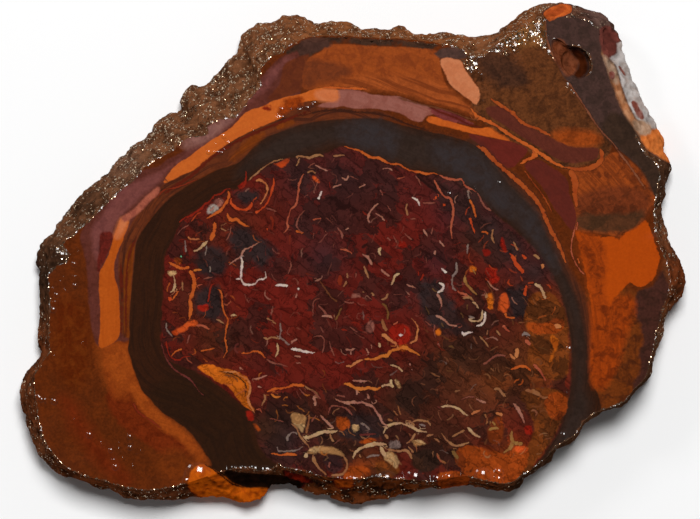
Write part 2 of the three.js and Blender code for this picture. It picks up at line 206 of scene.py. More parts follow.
# Each patch is its stone, how far its edge wanders and how soft it is in millimetres, and its outline.
PATCHES = [
    ("low_red", 0.35, 0.5, (104, 372, 108, 386, 106, 400, 112, 414, 124, 428, 140, 440, 158, 452, 172,
     470, 180, 500, 240, 520, 215, 466, 201, 447, 187, 429, 166, 415, 150, 399, 138, 381, 131, 360, 128,
     340, 118, 341, 108, 348)),
    ("low_orange", 0.3, 0.5, (128, 340, 131, 360, 138, 381, 150, 399, 166, 415, 187, 429, 201, 447, 212,
     464, 206, 470, 192, 456, 180, 441, 164, 431, 148, 419, 136, 404, 128, 388, 122, 366, 122, 346)),
    ("tan_orange", 0.4, 1.4, (160, 454, 176, 450, 192, 456, 205, 470, 202, 484, 190, 489, 170, 484, 158,
     470)),
    ("low_orange", 0.5, 1.6, (98, 344, 120, 338, 128, 360, 134, 384, 122, 398, 106, 380)),
    ("low_red", 0.5, 1.8, (60, 396, 76, 404, 92, 430, 112, 456, 132, 480, 120, 484, 96, 464, 72, 430)),
    ("low_rust", 0.5, 1.8, (56, 300, 84, 306, 92, 340, 86, 380, 66, 384, 52, 350)),
    ("deep_red", 0.2, 0.4, (172, 488, 184, 483, 197, 488, 200, 497, 188, 501, 174, 498)),
    ("mauve_brown", 0.15, 0.25, (86, 262, 80, 239, 82, 231, 87, 222, 95, 214, 104, 206, 109, 193, 116,
     185, 127, 179, 141, 171, 157, 167, 167, 160, 182, 152, 196, 142, 208, 131, 221, 125, 226, 116, 235,
     108, 244, 98, 250, 92, 258, 81, 268, 70, 277, 60, 289, 54, 299, 54, 300, 95, 285, 120, 250, 137, 210,
     165, 165, 203, 140, 233, 131, 293, 129, 340, 118, 341, 100, 348, 92, 330, 88, 290)),
    ("mauve", 0.25, 0.6, (92, 245, 92, 228, 104, 212, 118, 192, 134, 182, 160, 172, 190, 152, 216, 134,
     236, 116, 254, 94, 270, 72, 286, 58, 297, 60, 284, 66, 268, 88, 252, 100, 236, 116, 214, 137, 190,
     155, 168, 170, 158, 184, 142, 196, 126, 212, 114, 226, 108, 246, 98, 262)),
    ("mauve_blue", 0.2, 0.8, (180, 148, 196, 128, 214, 122, 232, 106, 246, 98, 238, 114, 222, 130, 202,
     144)),
    ("mauve_red", 0.2, 0.2, (100, 238, 103, 231, 114, 235, 110, 247, 104, 262, 101, 271, 97, 269)),
    ("lined_brown", 0.1, 0.2, (300, 97, 282, 104, 264, 118, 240, 133, 215, 148, 190, 164, 168, 180, 158,
     190, 150, 203, 136, 216, 128, 230, 121, 246, 118, 268, 120, 300, 120, 330, 129, 339, 129, 320, 131,
     293, 134, 260, 136, 242, 146, 225, 164, 203, 188, 185, 214, 171, 239, 162, 258, 142, 285, 130, 318,
     121, 377, 118, 400, 122, 380, 111, 340, 108, 316, 106)),
    ("ochre", 0.08, 0.15, (131, 243, 135, 243, 133, 262, 131, 290, 129, 320, 129, 338, 124, 334, 124, 300,
     123, 275, 126, 255)),
    ("ochre", 0.3, 0.5, (248, 138, 262, 131, 265, 136, 254, 146, 240, 157, 230, 161, 236, 152)),
    ("ochre", 0.12, 0.2, (278, 123, 290, 119, 296, 123, 284, 129, 276, 129)),
    ("orange_left", 0.1, 0.12, (127, 219, 121, 218, 116, 230, 112, 243, 109, 254, 105, 262, 100, 271, 99,
     280, 99, 293, 100, 308, 100, 330, 99, 348, 110, 345, 118, 339, 120, 330, 120, 318, 119, 301, 118,
     288, 115, 279, 114, 268, 116, 257, 120, 247, 124, 237, 128, 226, 129, 220)),
    ("peach", 0.15, 0.6, (128, 219, 121, 218, 114, 236, 120, 238, 126, 228)),
    ("peach_dash", 0.1, 0.25, (158, 186, 150, 193, 145, 197, 137, 206, 129, 212, 121, 218, 124, 222, 132,
     218, 141, 211, 149, 202, 154, 198, 160, 192)),
    ("orange_main", 0.12, 0.12, (286, 97, 271, 102, 261, 107, 250, 110, 243, 115, 234, 125, 223, 133, 213,
     139, 200, 148, 190, 156, 180, 162, 172, 169, 167, 176, 162, 184, 172, 180, 182, 175, 194, 170, 204,
     163, 213, 155, 223, 147, 234, 140, 245, 134, 257, 128, 270, 123, 282, 117, 279, 110, 290, 106, 304,
     102, 318, 100, 336, 101, 336, 89, 318, 88, 301, 94)),
    ("bright_streaky", 0.5, 0.5, (282, 104, 290, 98, 302, 97, 304, 102, 296, 108, 284, 114, 276, 116)),
    ("ember_stone", 0.3, 0.2, (262, 106, 270, 104, 272, 109, 266, 111)),
    ("peach", 0.15, 0.5, (316, 91, 336, 89, 337, 101, 318, 100)),
    ("triangle", 0.12, 0.25, (299, 57, 310, 51, 303, 70, 302, 89, 286, 97, 266, 101, 280, 83, 284, 64)),
    ("block", 0.12, 0.15, (321, 51, 332, 44, 377, 46, 407, 47, 435, 49, 439, 56, 442, 74, 447, 86, 451,
     94, 460, 100, 470, 107, 478, 117, 460, 109, 434, 103, 414, 96, 392, 91, 370, 88, 348, 88, 324, 87,
     303, 89, 302, 71, 309, 58)),
    ("block_dark", 0.25, 0.9, (303, 60, 330, 62, 350, 68, 345, 78, 318, 84, 303, 88)),
    ("block_pink", 0.3, 0.9, (340, 78, 380, 76, 420, 78, 446, 86, 462, 100, 478, 116, 456, 108, 430, 102,
     404, 94, 384, 90, 350, 88)),
    ("top_margin", 0.3, 0.25, (284, 55, 298, 43, 320, 37, 360, 38, 400, 40, 434, 43, 437, 49, 407, 47,
     377, 46, 332, 44, 321, 51, 309, 56, 296, 58)),
    ("triangle_grey", 0.15, 0.3, (300, 42, 318, 37, 334, 43, 322, 50, 309, 54, 300, 55)),
    ("pink_lens", 0.12, 0.15, (315, 108, 324, 111, 341, 106, 355, 109, 370, 108, 385, 110, 400, 113, 413,
     121, 423, 121, 426, 116, 436, 113, 428, 106, 417, 103, 402, 97, 389, 96, 370, 94, 358, 90, 346, 89,
     336, 91, 332, 100, 324, 103)),
    ("granular", 0.2, 0.3, (436, 50, 467, 46, 490, 36, 510, 10, 546, 4, 546, 30, 548, 43, 552, 55, 558,
     65, 562, 75, 570, 85, 577, 95, 587, 110, 595, 123, 603, 133, 612, 142, 606, 160, 590, 164, 560, 168,
     500, 134, 478, 117, 470, 107, 476, 96, 478, 86, 470, 77, 465, 70, 460, 60)),
    # partly real gold grain, partly painted sheen for the clustered glints
    ("granular_gold_and_sheen", 0.4, 1.2, (502, 30, 512, 14, 530, 12, 542, 18, 545, 44, 534, 52, 510, 46)),
    ("granular_dark", 0.4, 1.2, (480, 50, 505, 56, 530, 76, 520, 90, 494, 84, 478, 66)),
    ("granular_low", 0.4, 0.9, (520, 50, 545, 48, 566, 84, 604, 140, 600, 160, 560, 160, 500, 130, 480,
     110, 486, 100, 500, 90, 530, 84)),
    ("granular_low", 0.4, 1.2, (498, 98, 520, 106, 540, 122, 556, 134, 536, 132, 512, 118)),
    ("glow", 0.3, 0.9, (552, 133, 575, 129, 598, 134, 600, 144, 580, 148, 560, 146)),
    ("grey_patch", 0.15, 0.25, (436, 50, 467, 46, 466, 58, 440, 58)),
    ("peach_patch", 0.15, 0.15, (440, 59, 460, 60, 465, 70, 470, 77, 477, 86, 480, 94, 477, 105, 470, 100,
     460, 93, 450, 85, 445, 73)),
    ("plum", 0.1, 0.12, (546, 0, 546, 17, 546, 30, 548, 43, 552, 55, 558, 65, 562, 75, 570, 85, 577, 95,
     587, 110, 595, 123, 603, 133, 612, 142, 622, 152, 636, 164, 650, 180, 658, 200, 690, 200, 690, 0)),
    ("plum_brown", 0.3, 0.6, (612, 112, 630, 122, 642, 142, 656, 160, 672, 170, 672, 200, 656, 198, 640,
     168, 618, 148, 600, 130)),
    ("plum_pink", 0.3, 0.6, (596, 8, 612, 18, 606, 30, 600, 28, 590, 14)),
    # painted shade on the shadowed wall of the larger pit
    ("pit_painted_shade", 0.15, 0.3, (570, 50, 580, 50, 587, 60, 588, 70, 580, 78, 574, 74, 580, 64)),
    ("pit_floor", 0.2, 0.35, (553, 42, 562, 40, 570, 50, 579, 62, 574, 74, 566, 76, 560, 68, 552, 54)),
    ("pit_mauve", 0.15, 0.2, (600, 30, 608, 25, 617, 32, 622, 45, 623, 57, 618, 62, 607, 58, 601, 47)),
    ("facet_white", 0.12, 0.2, (610, 58, 617, 66, 622, 84, 630, 106, 640, 122, 652, 128, 674, 150, 690,
     150, 690, 50, 624, 40, 618, 52)),
    ("facet_tan", 0.2, 0.4, (601, 50, 607, 60, 611, 64, 616, 72, 621, 86, 628, 104, 637, 120, 646, 130,
     646, 138, 642, 140, 633, 127, 625, 115, 618, 100, 612, 83, 608, 70)),
    ("facet_cream", 0.2, 0.4, (603, 56, 610, 60, 616, 68, 619, 80, 616, 84, 611, 76, 607, 68)),
    ("facet_maroon", 0.2, 0.2, (632, 101, 637, 102, 643, 112, 644, 119, 639, 117, 634, 109)),
    ("facet_maroon", 0.1, 0.1, (609, 72, 614, 72, 615, 78, 611, 79)),
    ("facet_maroon", 0.1, 0.1, (619, 66, 622, 67, 627, 75, 624, 74)),
    ("facet_cream", 0.2, 0.3, (633, 122, 644, 120, 652, 126, 650, 134, 640, 134)),
    ("facet_orange", 0.2, 0.3, (641, 136, 650, 130, 664, 128, 674, 146, 674, 162, 660, 157, 646, 148)),
    ("chip_orange", 0.12, 0.12, (544, 12, 551, 7, 561, 3, 571, 4, 572, 11, 565, 15, 557, 18, 550, 22, 546,
     18)),
    ("glow", 0.4, 0.9, (560, 164, 575, 168, 590, 166, 602, 156, 608, 168, 602, 190, 592, 204, 580, 204,
     574, 186, 570, 172)),
    ("round_top", 0.15, 0.2, (602, 159, 616, 152, 634, 164, 646, 178, 657, 200, 650, 207, 644, 217, 640,
     223, 631, 229, 622, 232, 619, 237, 600, 233, 579, 231, 574, 222, 574, 200, 576, 185, 572, 170, 590,
     168)),
    ("round_mid", 0.4, 0.9, (578, 196, 610, 186, 640, 188, 652, 204, 640, 222, 620, 226, 590, 222, 577,
     214)),
    ("round_low", 0.3, 0.6, (577, 216, 600, 214, 626, 214, 646, 210, 636, 226, 622, 232, 600, 232, 580,
     230)),
    ("right_grain", 0.3, 0.4, (588, 287, 640, 291, 658, 281, 690, 262, 700, 300, 680, 350, 650, 400, 610,
     430, 596, 440, 600, 400, 590, 380, 590, 348, 592, 323)),
    ("right_margin", 0.35, 0.4, (662, 270, 653, 285, 638, 291, 633, 306, 640, 324, 643, 341, 639, 357,
     641, 370, 632, 384, 640, 392, 650, 380, 664, 350, 678, 310, 674, 280)),
    ("corner", 0.3, 0.6, (662, 262, 680, 256, 692, 268, 690, 284, 672, 286)),
    ("bright_streaky", 0.5, 0.9, (596, 300, 632, 296, 634, 312, 626, 340, 618, 366, 606, 386, 594, 384,
     590, 340)),
    ("bright_block", 0.3, 0.15, (575, 231, 583, 233, 597, 237, 610, 236, 619, 240, 623, 233, 633, 229,
     641, 223, 646, 221, 650, 227, 654, 239, 657, 250, 660, 260, 656, 274, 650, 283, 638, 288, 630, 282,
     622, 290, 616, 296, 610, 306, 606, 320, 602, 334, 600, 350, 599, 372, 592, 376, 590, 348, 594, 336,
     592, 323, 590, 300, 586, 276, 581, 254)),
    ("bright_streaky", 0.4, 0.9, (577, 234, 600, 238, 606, 262, 604, 290, 610, 310, 606, 340, 600, 380,
     590, 379, 590, 300, 584, 268)),
    ("orange_right", 0.1, 0.12, (425, 117, 437, 117, 453, 122, 475, 128, 495, 127, 504, 132, 514, 142,
     490, 137, 470, 133, 450, 128, 430, 123)),
    ("purple_strip", 0.15, 0.15, (428, 108, 445, 110, 462, 117, 476, 126, 453, 122, 437, 117)),
    ("maroon_lens", 0.12, 0.12, (468, 134, 490, 138, 513, 142, 527, 148, 527, 153, 520, 160, 513, 167,
     501, 168, 490, 156, 480, 146)),
    ("maroon_lens_low", 0.12, 0.12, (524, 165, 534, 160, 543, 161, 551, 167, 561, 173, 568, 182, 569, 193,
     573, 203, 576, 213, 576, 224, 573, 231, 568, 227, 561, 217, 552, 205, 543, 188, 532, 176)),
    ("wedge", 0.15, 0.2, (485, 108, 500, 106, 513, 113, 527, 125, 540, 132, 553, 139, 570, 146, 587, 148,
     598, 148, 598, 156, 590, 161, 570, 163, 557, 159, 540, 148, 520, 136, 503, 124, 491, 117)),
    ("umber", 0.12, 0.15, DARK_EDGE),
    ("stripe_brown", 0.2, 0.5, (486, 150, 500, 164, 514, 172, 530, 188, 541, 203, 552, 226, 562, 246, 568,
     264, 577, 280, 588, 300, 594, 324, 592, 350, 586, 340, 580, 310, 570, 286, 558, 262, 548, 240, 536,
     216, 520, 196, 500, 178, 488, 160)),
    ("slate_brown", 0.3, 1.6, (470, 142, 486, 152, 504, 174, 524, 192, 540, 214, 552, 240, 566, 272, 580,
     304, 586, 345, 584, 390, 590, 410, 560, 480, 540, 480, 570, 405, 574, 345, 564, 300, 542, 254, 512,
     222, 480, 190, 460, 176)),
    ("slate_brown", 0.5, 1.6, (262, 146, 290, 130, 330, 124, 378, 122, 414, 132, 460, 143, 488, 160, 505,
     182, 500, 206, 470, 190, 440, 172, 400, 163, 345, 143, 300, 154, 260, 166, 236, 176)),
    ("slate", 0.6, 1.4, (342, 126, 366, 121, 390, 126, 398, 140, 390, 156, 368, 150, 346, 140, 338, 134)),
    ("slate", 0.6, 1.6, (430, 146, 452, 144, 474, 154, 488, 166, 500, 184, 514, 200, 512, 218, 494, 206,
     476, 186, 452, 172, 436, 160)),
    ("slate", 0.6, 1.6, (520, 204, 534, 216, 546, 240, 556, 262, 552, 270, 538, 246, 522, 226)),
    ("umber_low", 0.4, 1.2, (150, 392, 170, 376, 196, 380, 225, 398, 246, 412, 254, 440, 266, 458, 284,
     472, 284, 490, 214, 490, 208, 458, 188, 430, 164, 412)),
    ("core_red", 0.25, 0.25, CORE_EDGE),
    # painted shadow under the lip, above the lobe
    ("gap", 0.2, 0.3, (226, 472, 240, 474, 262, 476, 300, 480, 300, 490, 266, 489, 240, 486, 230, 480)),
    # partly painted light: the lobe's colour is raised to offset its shading from the back lamp
    ("lobe", 0.15, 0.2, (196, 466, 206, 465, 214, 470, 225, 477, 232, 483, 240, 487, 250, 489, 266, 488,
     268, 498, 257, 509, 244, 511, 230, 504, 214, 500, 198, 498, 188, 488, 190, 474)),
    ("wall_red", 0.3, 0.2, (284, 472, 293, 475, 302, 477, 312, 483, 300, 482, 286, 477)),
    ("wall_orange", 0.3, 0.2, (334, 481, 342, 479, 352, 482, 352, 488, 338, 489)),
    ("wall_orange", 0.3, 0.2, (440, 480, 450, 476, 463, 476, 469, 481, 464, 488, 447, 489, 438, 486)),
]

# Soft changes of stone inside the core: stone, middle, radius and how much of it shows.
CORE_TINTS = [
    ("core_plum", 330, 250, 34, 0.75), ("core_plum", 345, 175, 34, 0.8), ("core_plum", 400, 190, 30, 0.6),
    ("core_plum", 420, 300, 30, 0.7), ("core_night", 455, 215, 26, 0.6),
    ("core_night", 436, 262, 16, 0.6), ("core_night", 322, 258, 16, 0.5),
    ("core_brown", 215, 340, 30, 0.7), ("core_umber", 190, 300, 26, 0.6),
    ("core_brown", 240, 225, 26, 0.5), ("core_umber", 205, 240, 20, 0.5),
    ("core_rust", 275, 205, 22, 0.6), ("core_rust", 300, 345, 30, 0.5), ("core_brown", 450, 360, 44, 0.9),
    ("core_tan", 480, 395, 40, 0.7), ("core_umber", 405, 400, 38, 0.9), ("core_umber", 330, 430, 30, 0.8),
    ("core_brown", 360, 455, 30, 0.8), ("core_umber", 440, 440, 34, 0.8),
    ("core_brown", 520, 360, 36, 0.8), ("core_amber", 545, 310, 24, 0.8),
    ("core_amber", 552, 350, 24, 0.8), ("core_umber", 540, 420, 20, 0.6),
    ("core_orange", 495, 464, 18, 0.9), ("core_orange", 513, 452, 14, 0.8),
    ("core_orange", 562, 402, 9, 0.8), ("core_umber", 280, 420, 20, 0.7),
    ("core_brown", 480, 240, 22, 0.6), ("core_umber", 500, 300, 30, 0.6),
    ("core_amber", 500, 380, 20, 0.5), ("core_red", 400, 335, 30, 0.8), ("core_red", 270, 300, 34, 0.8),
    ("core_red", 385, 240, 34, 0.8), ("core_red", 345, 360, 26, 0.6), ("core_orange", 361, 471, 10, 0.8),
    ("core_amber", 381, 466, 12, 0.7), ("core_umber", 462, 452, 16, 0.6),
    ("core_slate", 284, 440, 30, 0.95), ("core_umber", 262, 428, 20, 0.9),
    ("core_umber", 308, 404, 16, 0.6), ("core_slate", 490, 226, 20, 0.9),
    ("core_slate", 512, 248, 22, 0.95), ("core_slate", 535, 272, 20, 0.9),
    ("core_slate", 470, 200, 18, 0.8), ("core_slate", 448, 190, 16, 0.7),
    ("core_plum", 300, 178, 30, 0.8), ("core_plum", 270, 260, 14, 0.5), ("core_plum", 300, 225, 16, 0.5),
    ("core_amber", 536, 376, 18, 0.6),
]

# Spots and patches of opal inside the core.
CORE_PATCHES = [
    ("core_slate", 0.7, 0.9, (229, 238, 236, 226, 248, 229, 258, 234, 266, 241, 275, 250, 268, 262, 262,
     272, 254, 262, 244, 262, 236, 252)),
    ("core_slate", 0.7, 0.9, (198, 290, 212, 287, 222, 292, 224, 312, 218, 320, 204, 318, 197, 306)),
    ("core_slate", 0.7, 0.9, (196, 252, 212, 246, 226, 254, 224, 272, 210, 278, 198, 270)),
    ("core_slate", 0.7, 0.9, (236, 192, 256, 190, 256, 201, 240, 203)),
    ("core_slate", 0.7, 0.9, (418, 284, 440, 282, 450, 300, 462, 318, 470, 330, 455, 334, 440, 330, 424,
     318)),
    ("core_slate", 0.7, 0.9, (507, 290, 522, 286, 530, 300, 527, 318, 512, 318, 508, 304)),
    ("core_slate", 0.7, 0.9, (340, 416, 360, 412, 382, 418, 384, 436, 360, 442, 340, 434)),
    ("core_umber", 0.3, 0.25, (413, 452, 432, 450, 440, 462, 430, 472, 414, 468)),
    ("core_amber", 0.35, 0.25, (530, 296, 548, 292, 560, 302, 566, 318, 569, 345, 568, 372, 556, 380, 538,
     376, 528, 360, 530, 340, 524, 322, 527, 306)),
    ("core_orange", 0.25, 0.2, (528, 322, 544, 324, 556, 318, 564, 322, 560, 332, 540, 334, 528, 330)),
    ("core_amber", 0.35, 0.25, (520, 392, 540, 388, 560, 390, 568, 398, 566, 412, 558, 430, 548, 446, 536,
     462, 524, 478, 508, 484, 500, 470, 510, 456, 526, 446, 534, 430, 528, 410)),
    ("core_orange", 0.25, 0.2, (552, 392, 566, 394, 567, 408, 560, 420, 549, 416, 544, 402)),
    ("core_orange", 0.3, 0.2, (456, 450, 474, 446, 496, 452, 512, 452, 527, 448, 528, 460, 520, 476, 512,
     486, 490, 484, 470, 478, 458, 466)),
    ("core_orange", 0.25, 0.2, (344, 470, 360, 466, 372, 472, 366, 482, 346, 482)),
    ("core_amber", 0.25, 0.2, (376, 462, 396, 464, 398, 474, 380, 478)),
    ("core_orange", 0.25, 0.2, (438, 474, 466, 472, 468, 486, 444, 488)),
    ("vein_fire", 0.3, 0.2, (274, 164, 279, 162, 290, 158, 287, 163, 283, 168, 279, 167)),
    ("vein_red", 0.3, 0.2, (237, 187, 246, 180, 248, 186, 243, 190)),
    ("vein_ash", 0.3, 0.2, (206, 210, 211, 205, 215, 204, 219, 206, 217, 210, 213, 213, 208, 213)),
    ("vein_rose", 0.3, 0.2, (214, 202, 217, 199, 222, 200, 223, 203, 220, 207, 216, 205)),
    ("core_orange", 0.3, 0.2, (174, 258, 181, 258, 182, 263, 177, 264)),
    ("vein_fire", 0.3, 0.2, (314, 176, 317, 178, 321, 182, 319, 184, 316, 182, 313, 179)),
    ("vein_cream", 0.3, 0.2, (168, 271, 175, 271, 175, 275, 168, 275)),
    ("vein_fire", 0.3, 0.2, (172, 333, 181, 327, 188, 322, 194, 320, 198, 324, 190, 327, 184, 331, 176,
     335)),
    ("vein_red", 0.3, 0.2, (197, 308, 201, 305, 207, 304, 209, 309, 203, 312)),
    ("vein_gold", 0.25, 0.14, (197, 367, 207, 364, 222, 368, 231, 369, 239, 373, 247, 378, 250, 386, 249,
     397, 252, 406, 256, 411, 247, 408, 238, 400, 232, 390, 222, 384, 211, 377, 203, 372)),
    ("vein_red", 0.3, 0.2, (245, 412, 249, 410, 254, 417, 251, 421, 247, 417)),
    ("core_orange", 0.3, 0.2, (253, 424, 257, 424, 260, 430, 256, 429)),
    ("vein_cream", 0.3, 0.2, (291, 413, 305, 415, 306, 421, 303, 432, 298, 429, 292, 422)),
    ("core_orange", 0.3, 0.2, (336, 418, 341, 416, 348, 419, 350, 427, 343, 430, 337, 427)),
    ("vein_cream", 0.3, 0.2, (352, 425, 358, 425, 359, 430, 354, 432)),
    ("vein_cream", 0.3, 0.2, (312, 447, 320, 446, 332, 447, 340, 450, 344, 456, 337, 455, 324, 453, 312,
     454, 307, 454)),
    ("core_plum", 0.3, 0.2, (326, 456, 340, 456, 343, 466, 335, 474, 327, 470, 323, 462)),
    ("core_orange", 0.12, 0.2, (359, 442, 369, 438, 377, 440, 368, 444)),
    ("vein_cream", 0.3, 0.2, (386, 453, 392, 452, 399, 460, 396, 469, 390, 464, 384, 458)),
    ("vein_mauve", 0.3, 0.2, (389, 442, 399, 441, 400, 447, 391, 448)),
    ("vein_cream", 0.3, 0.2, (394, 380, 399, 381, 401, 388, 397, 387)),
    ("core_orange", 0.3, 0.2, (398, 344, 406, 344, 409, 347, 404, 351, 399, 349)),
    ("vein_red", 0.15, 0.2, (389, 330, 396, 324, 406, 326, 411, 334, 407, 343, 397, 345, 390, 339)),
    ("vein_rose", 0.3, 0.2, (366, 329, 369, 321, 374, 324, 372, 333)),
    ("vein_rose", 0.3, 0.2, (352, 294, 359, 293, 360, 297, 353, 298)),
    ("vein_red", 0.3, 0.2, (486, 268, 496, 268, 497, 275, 500, 280, 494, 284, 488, 280)),
    ("vein_fire", 0.3, 0.2, (501, 295, 506, 293, 509, 303, 509, 308, 505, 313, 499, 310, 499, 301)),
    ("vein_gold", 0.3, 0.2, (487, 294, 493, 295, 493, 308, 488, 308)),
    ("vein_gold", 0.3, 0.2, (549, 337, 553, 335, 557, 340, 557, 348, 553, 357, 550, 361, 553, 349, 550,
     341)),
    ("vein_red", 0.3, 0.2, (502, 237, 500, 247, 507, 252, 505, 243)),
    ("vein_red", 0.3, 0.2, (483, 250, 489, 249, 490, 255, 484, 256)),
    ("vein_red", 0.3, 0.2, (399, 242, 404, 241, 406, 246, 401, 248)),
    ("vein_fire", 0.3, 0.2, (515, 447, 526, 445, 528, 450, 522, 453, 516, 451)),
    ("vein_red", 0.3, 0.2, (525, 427, 531, 426, 532, 433, 526, 434)),
    ("core_orange", 0.2, 0.3, (488, 430, 498, 414, 504, 428, 500, 444, 490, 442)),
    ("vein_cream", 0.3, 0.2, (412, 440, 420, 440, 427, 444, 419, 446, 413, 445)),
    ("vein_gold", 0.3, 0.2, (436, 329, 440, 329, 440, 334, 436, 334)),
    ("vein_gold", 0.3, 0.2, (470, 266, 475, 267, 475, 272, 470, 272)),
]

# Colours of lines, veins and strokes, as screen values.
VEIN_COLOURS = {
    "red": (132, 34, 18), "fire": (184, 68, 28), "orange": (186, 88, 34), "gold": (190, 106, 42),
    "peach": (182, 110, 64), "coral": (164, 80, 54), "tan": (150, 102, 66), "sand": (138, 86, 52),
    "olive": (112, 78, 40), "yellow": (146, 104, 54), "cream": (182, 146, 106), "white": (206, 186, 172),
    "pink": (162, 108, 88), "rose": (128, 70, 56), "ash": (124, 104, 94), "brown": (98, 54, 30),
    "green": (110, 190, 140), "dusk": (100, 44, 38), "ember": (120, 40, 20), "clay": (124, 72, 48),
    "wine": (88, 27, 14), "umber": (54, 26, 16), "rust": (146, 62, 24), "amber": (160, 72, 28),
    "soot": (30, 15, 10),
}

# Lines on the bands: colour, width in pixels at the start and at the end, and the points along them.
BAND_LINES = [
    ("orange", 3.5, 3, (470, 107, 478, 117, 492, 123, 503, 130, 513, 137, 527, 145, 540, 153, 553, 162,
     565, 168)),
    ("orange", 4, 3, (532, 149, 536, 156, 528, 159, 520, 164)),
    ("amber", 4, 5, (565, 167, 579, 169, 590, 168, 598, 164, 602, 158, 600, 148)),
    ("amber", 8, 4, (570, 168, 575, 183, 575, 195, 577, 208)),
    ("clay", 2, 1.5, (546, 17, 546, 30, 548, 43, 552, 55, 558, 65, 562, 75, 570, 85, 577, 95, 587, 110,
     595, 123, 603, 133, 612, 142, 619, 151)),
    ("amber", 3.5, 3, (490, 98, 503, 107, 513, 113, 523, 123, 540, 130, 553, 137)),
    ("amber", 4.5, 4, (476, 146, 483, 149, 490, 156, 496, 162, 503, 169, 513, 177, 529, 192, 540, 206,
     550, 228, 560, 247, 566, 264)),
    ("orange", 2.5, 2, (321, 87, 342, 88, 368, 89)),
    ("ember", 1.5, 1.5, (157, 198, 164, 190, 175, 188, 188, 183, 198, 179)),
    ("orange", 2, 2, (577, 256, 580, 265)),
    ("coral", 1.5, 1.5, (578, 221, 576, 231)),
    ("ember", 2, 1.5, (133, 402, 138, 412, 150, 420, 162, 429)),
    ("brown", 1.5, 1.5, (396, 97, 420, 104, 446, 110, 464, 117, 478, 121)),
    ("clay", 1.6, 1.4, (612, 142, 622, 156, 634, 172, 646, 190)),
    ("dusk", 3, 2, (657, 216, 668, 238, 674, 250)),
]

# Darker lines between the bands, in the same form.
DARK_LINES = [
    ("wine", 3, 4, (310, 110, 300, 114, 284, 121, 266, 128, 250, 135, 234, 143, 221, 151, 208, 160, 198,
     170, 188, 178, 179, 184, 171, 189, 164, 194)),
    ("wine", 3, 3, (121, 262, 121, 280, 122, 300, 122, 318, 121, 339)),
    ("wine", 2, 2, (137, 236, 130, 252, 127, 270, 126, 300, 126, 336)),
    ("wine", 2, 2, (428, 106, 440, 112, 456, 118, 470, 125, 484, 128)),
    ("coral", 1.3, 1.3, (576, 222, 573, 236, 571, 250, 575, 262, 580, 270, 586, 276)),
    ("rust", 1.5, 1.5, (524, 170, 532, 181, 544, 197, 552, 212)),
    ("dusk", 1.8, 1.2, (161, 342, 166, 358, 176, 371, 190, 379, 198, 390, 205, 397)),
    ("soot", 1.4, 1.2, (218, 371, 232, 374, 241, 379, 246, 386, 245, 398)),
    ("soot", 1.6, 1.6, (204, 464, 214, 470, 224, 478, 232, 485, 244, 489)),
    ("umber", 2, 2, (300, 117, 316, 112, 336, 110, 356, 112, 372, 113, 390, 117, 410, 125, 430, 131)),
]

# Small beads of water that catch the lamp: middle and radius in pixels.
BEADS = [
    (93, 199, 8), (47, 256, 2.88), (47, 278, 2.88), (38.6, 263.6, 2.88), (75, 284.6, 2.88),
    (74, 263, 2.88), (53, 308.5, 3.6), (56.5, 294, 2.88), (32, 396, 2.88), (38, 396, 2.88),
    (41, 399, 2.88), (54, 400.5, 3.6), (89, 434, 3.6), (129.5, 436, 2.88), (130, 447, 2.88),
    (115, 466, 3.6), (110.5, 449.5, 2.88), (197.3, 471.3, 14), (191.5, 477.5, 6), (186, 480, 5),
    (198, 480, 5), (235, 468, 5), (245, 468, 5), (255, 468, 5), (266.5, 469, 6), (273, 471, 5),
    (287, 471, 5), (292, 471, 6), (297, 471, 5), (318.6, 477.5, 5), (341, 478.5, 5), (353.7, 478, 5),
    (359, 479.4, 6), (374, 478.5, 5), (387, 477.5, 11), (391, 480, 6), (401, 479, 5), (415, 475.6, 10),
    (423, 480, 5), (427, 482, 5), (433, 482, 5), (437, 477.5, 5), (449, 476, 5), (483, 473, 9),
    (499, 478, 5), (499, 470.5, 5), (569.6, 347.7, 4), (564, 434, 4), (450, 193, 3), (500, 182, 3),
    (282, 108, 3), (283, 116, 2.6), (308, 107, 3), (315, 102, 2.6), (223.5, 135, 3), (229, 142, 3),
    (222, 152, 2.6), (208.6, 151, 3), (277, 117, 3), (299.5, 109, 2.6),
]

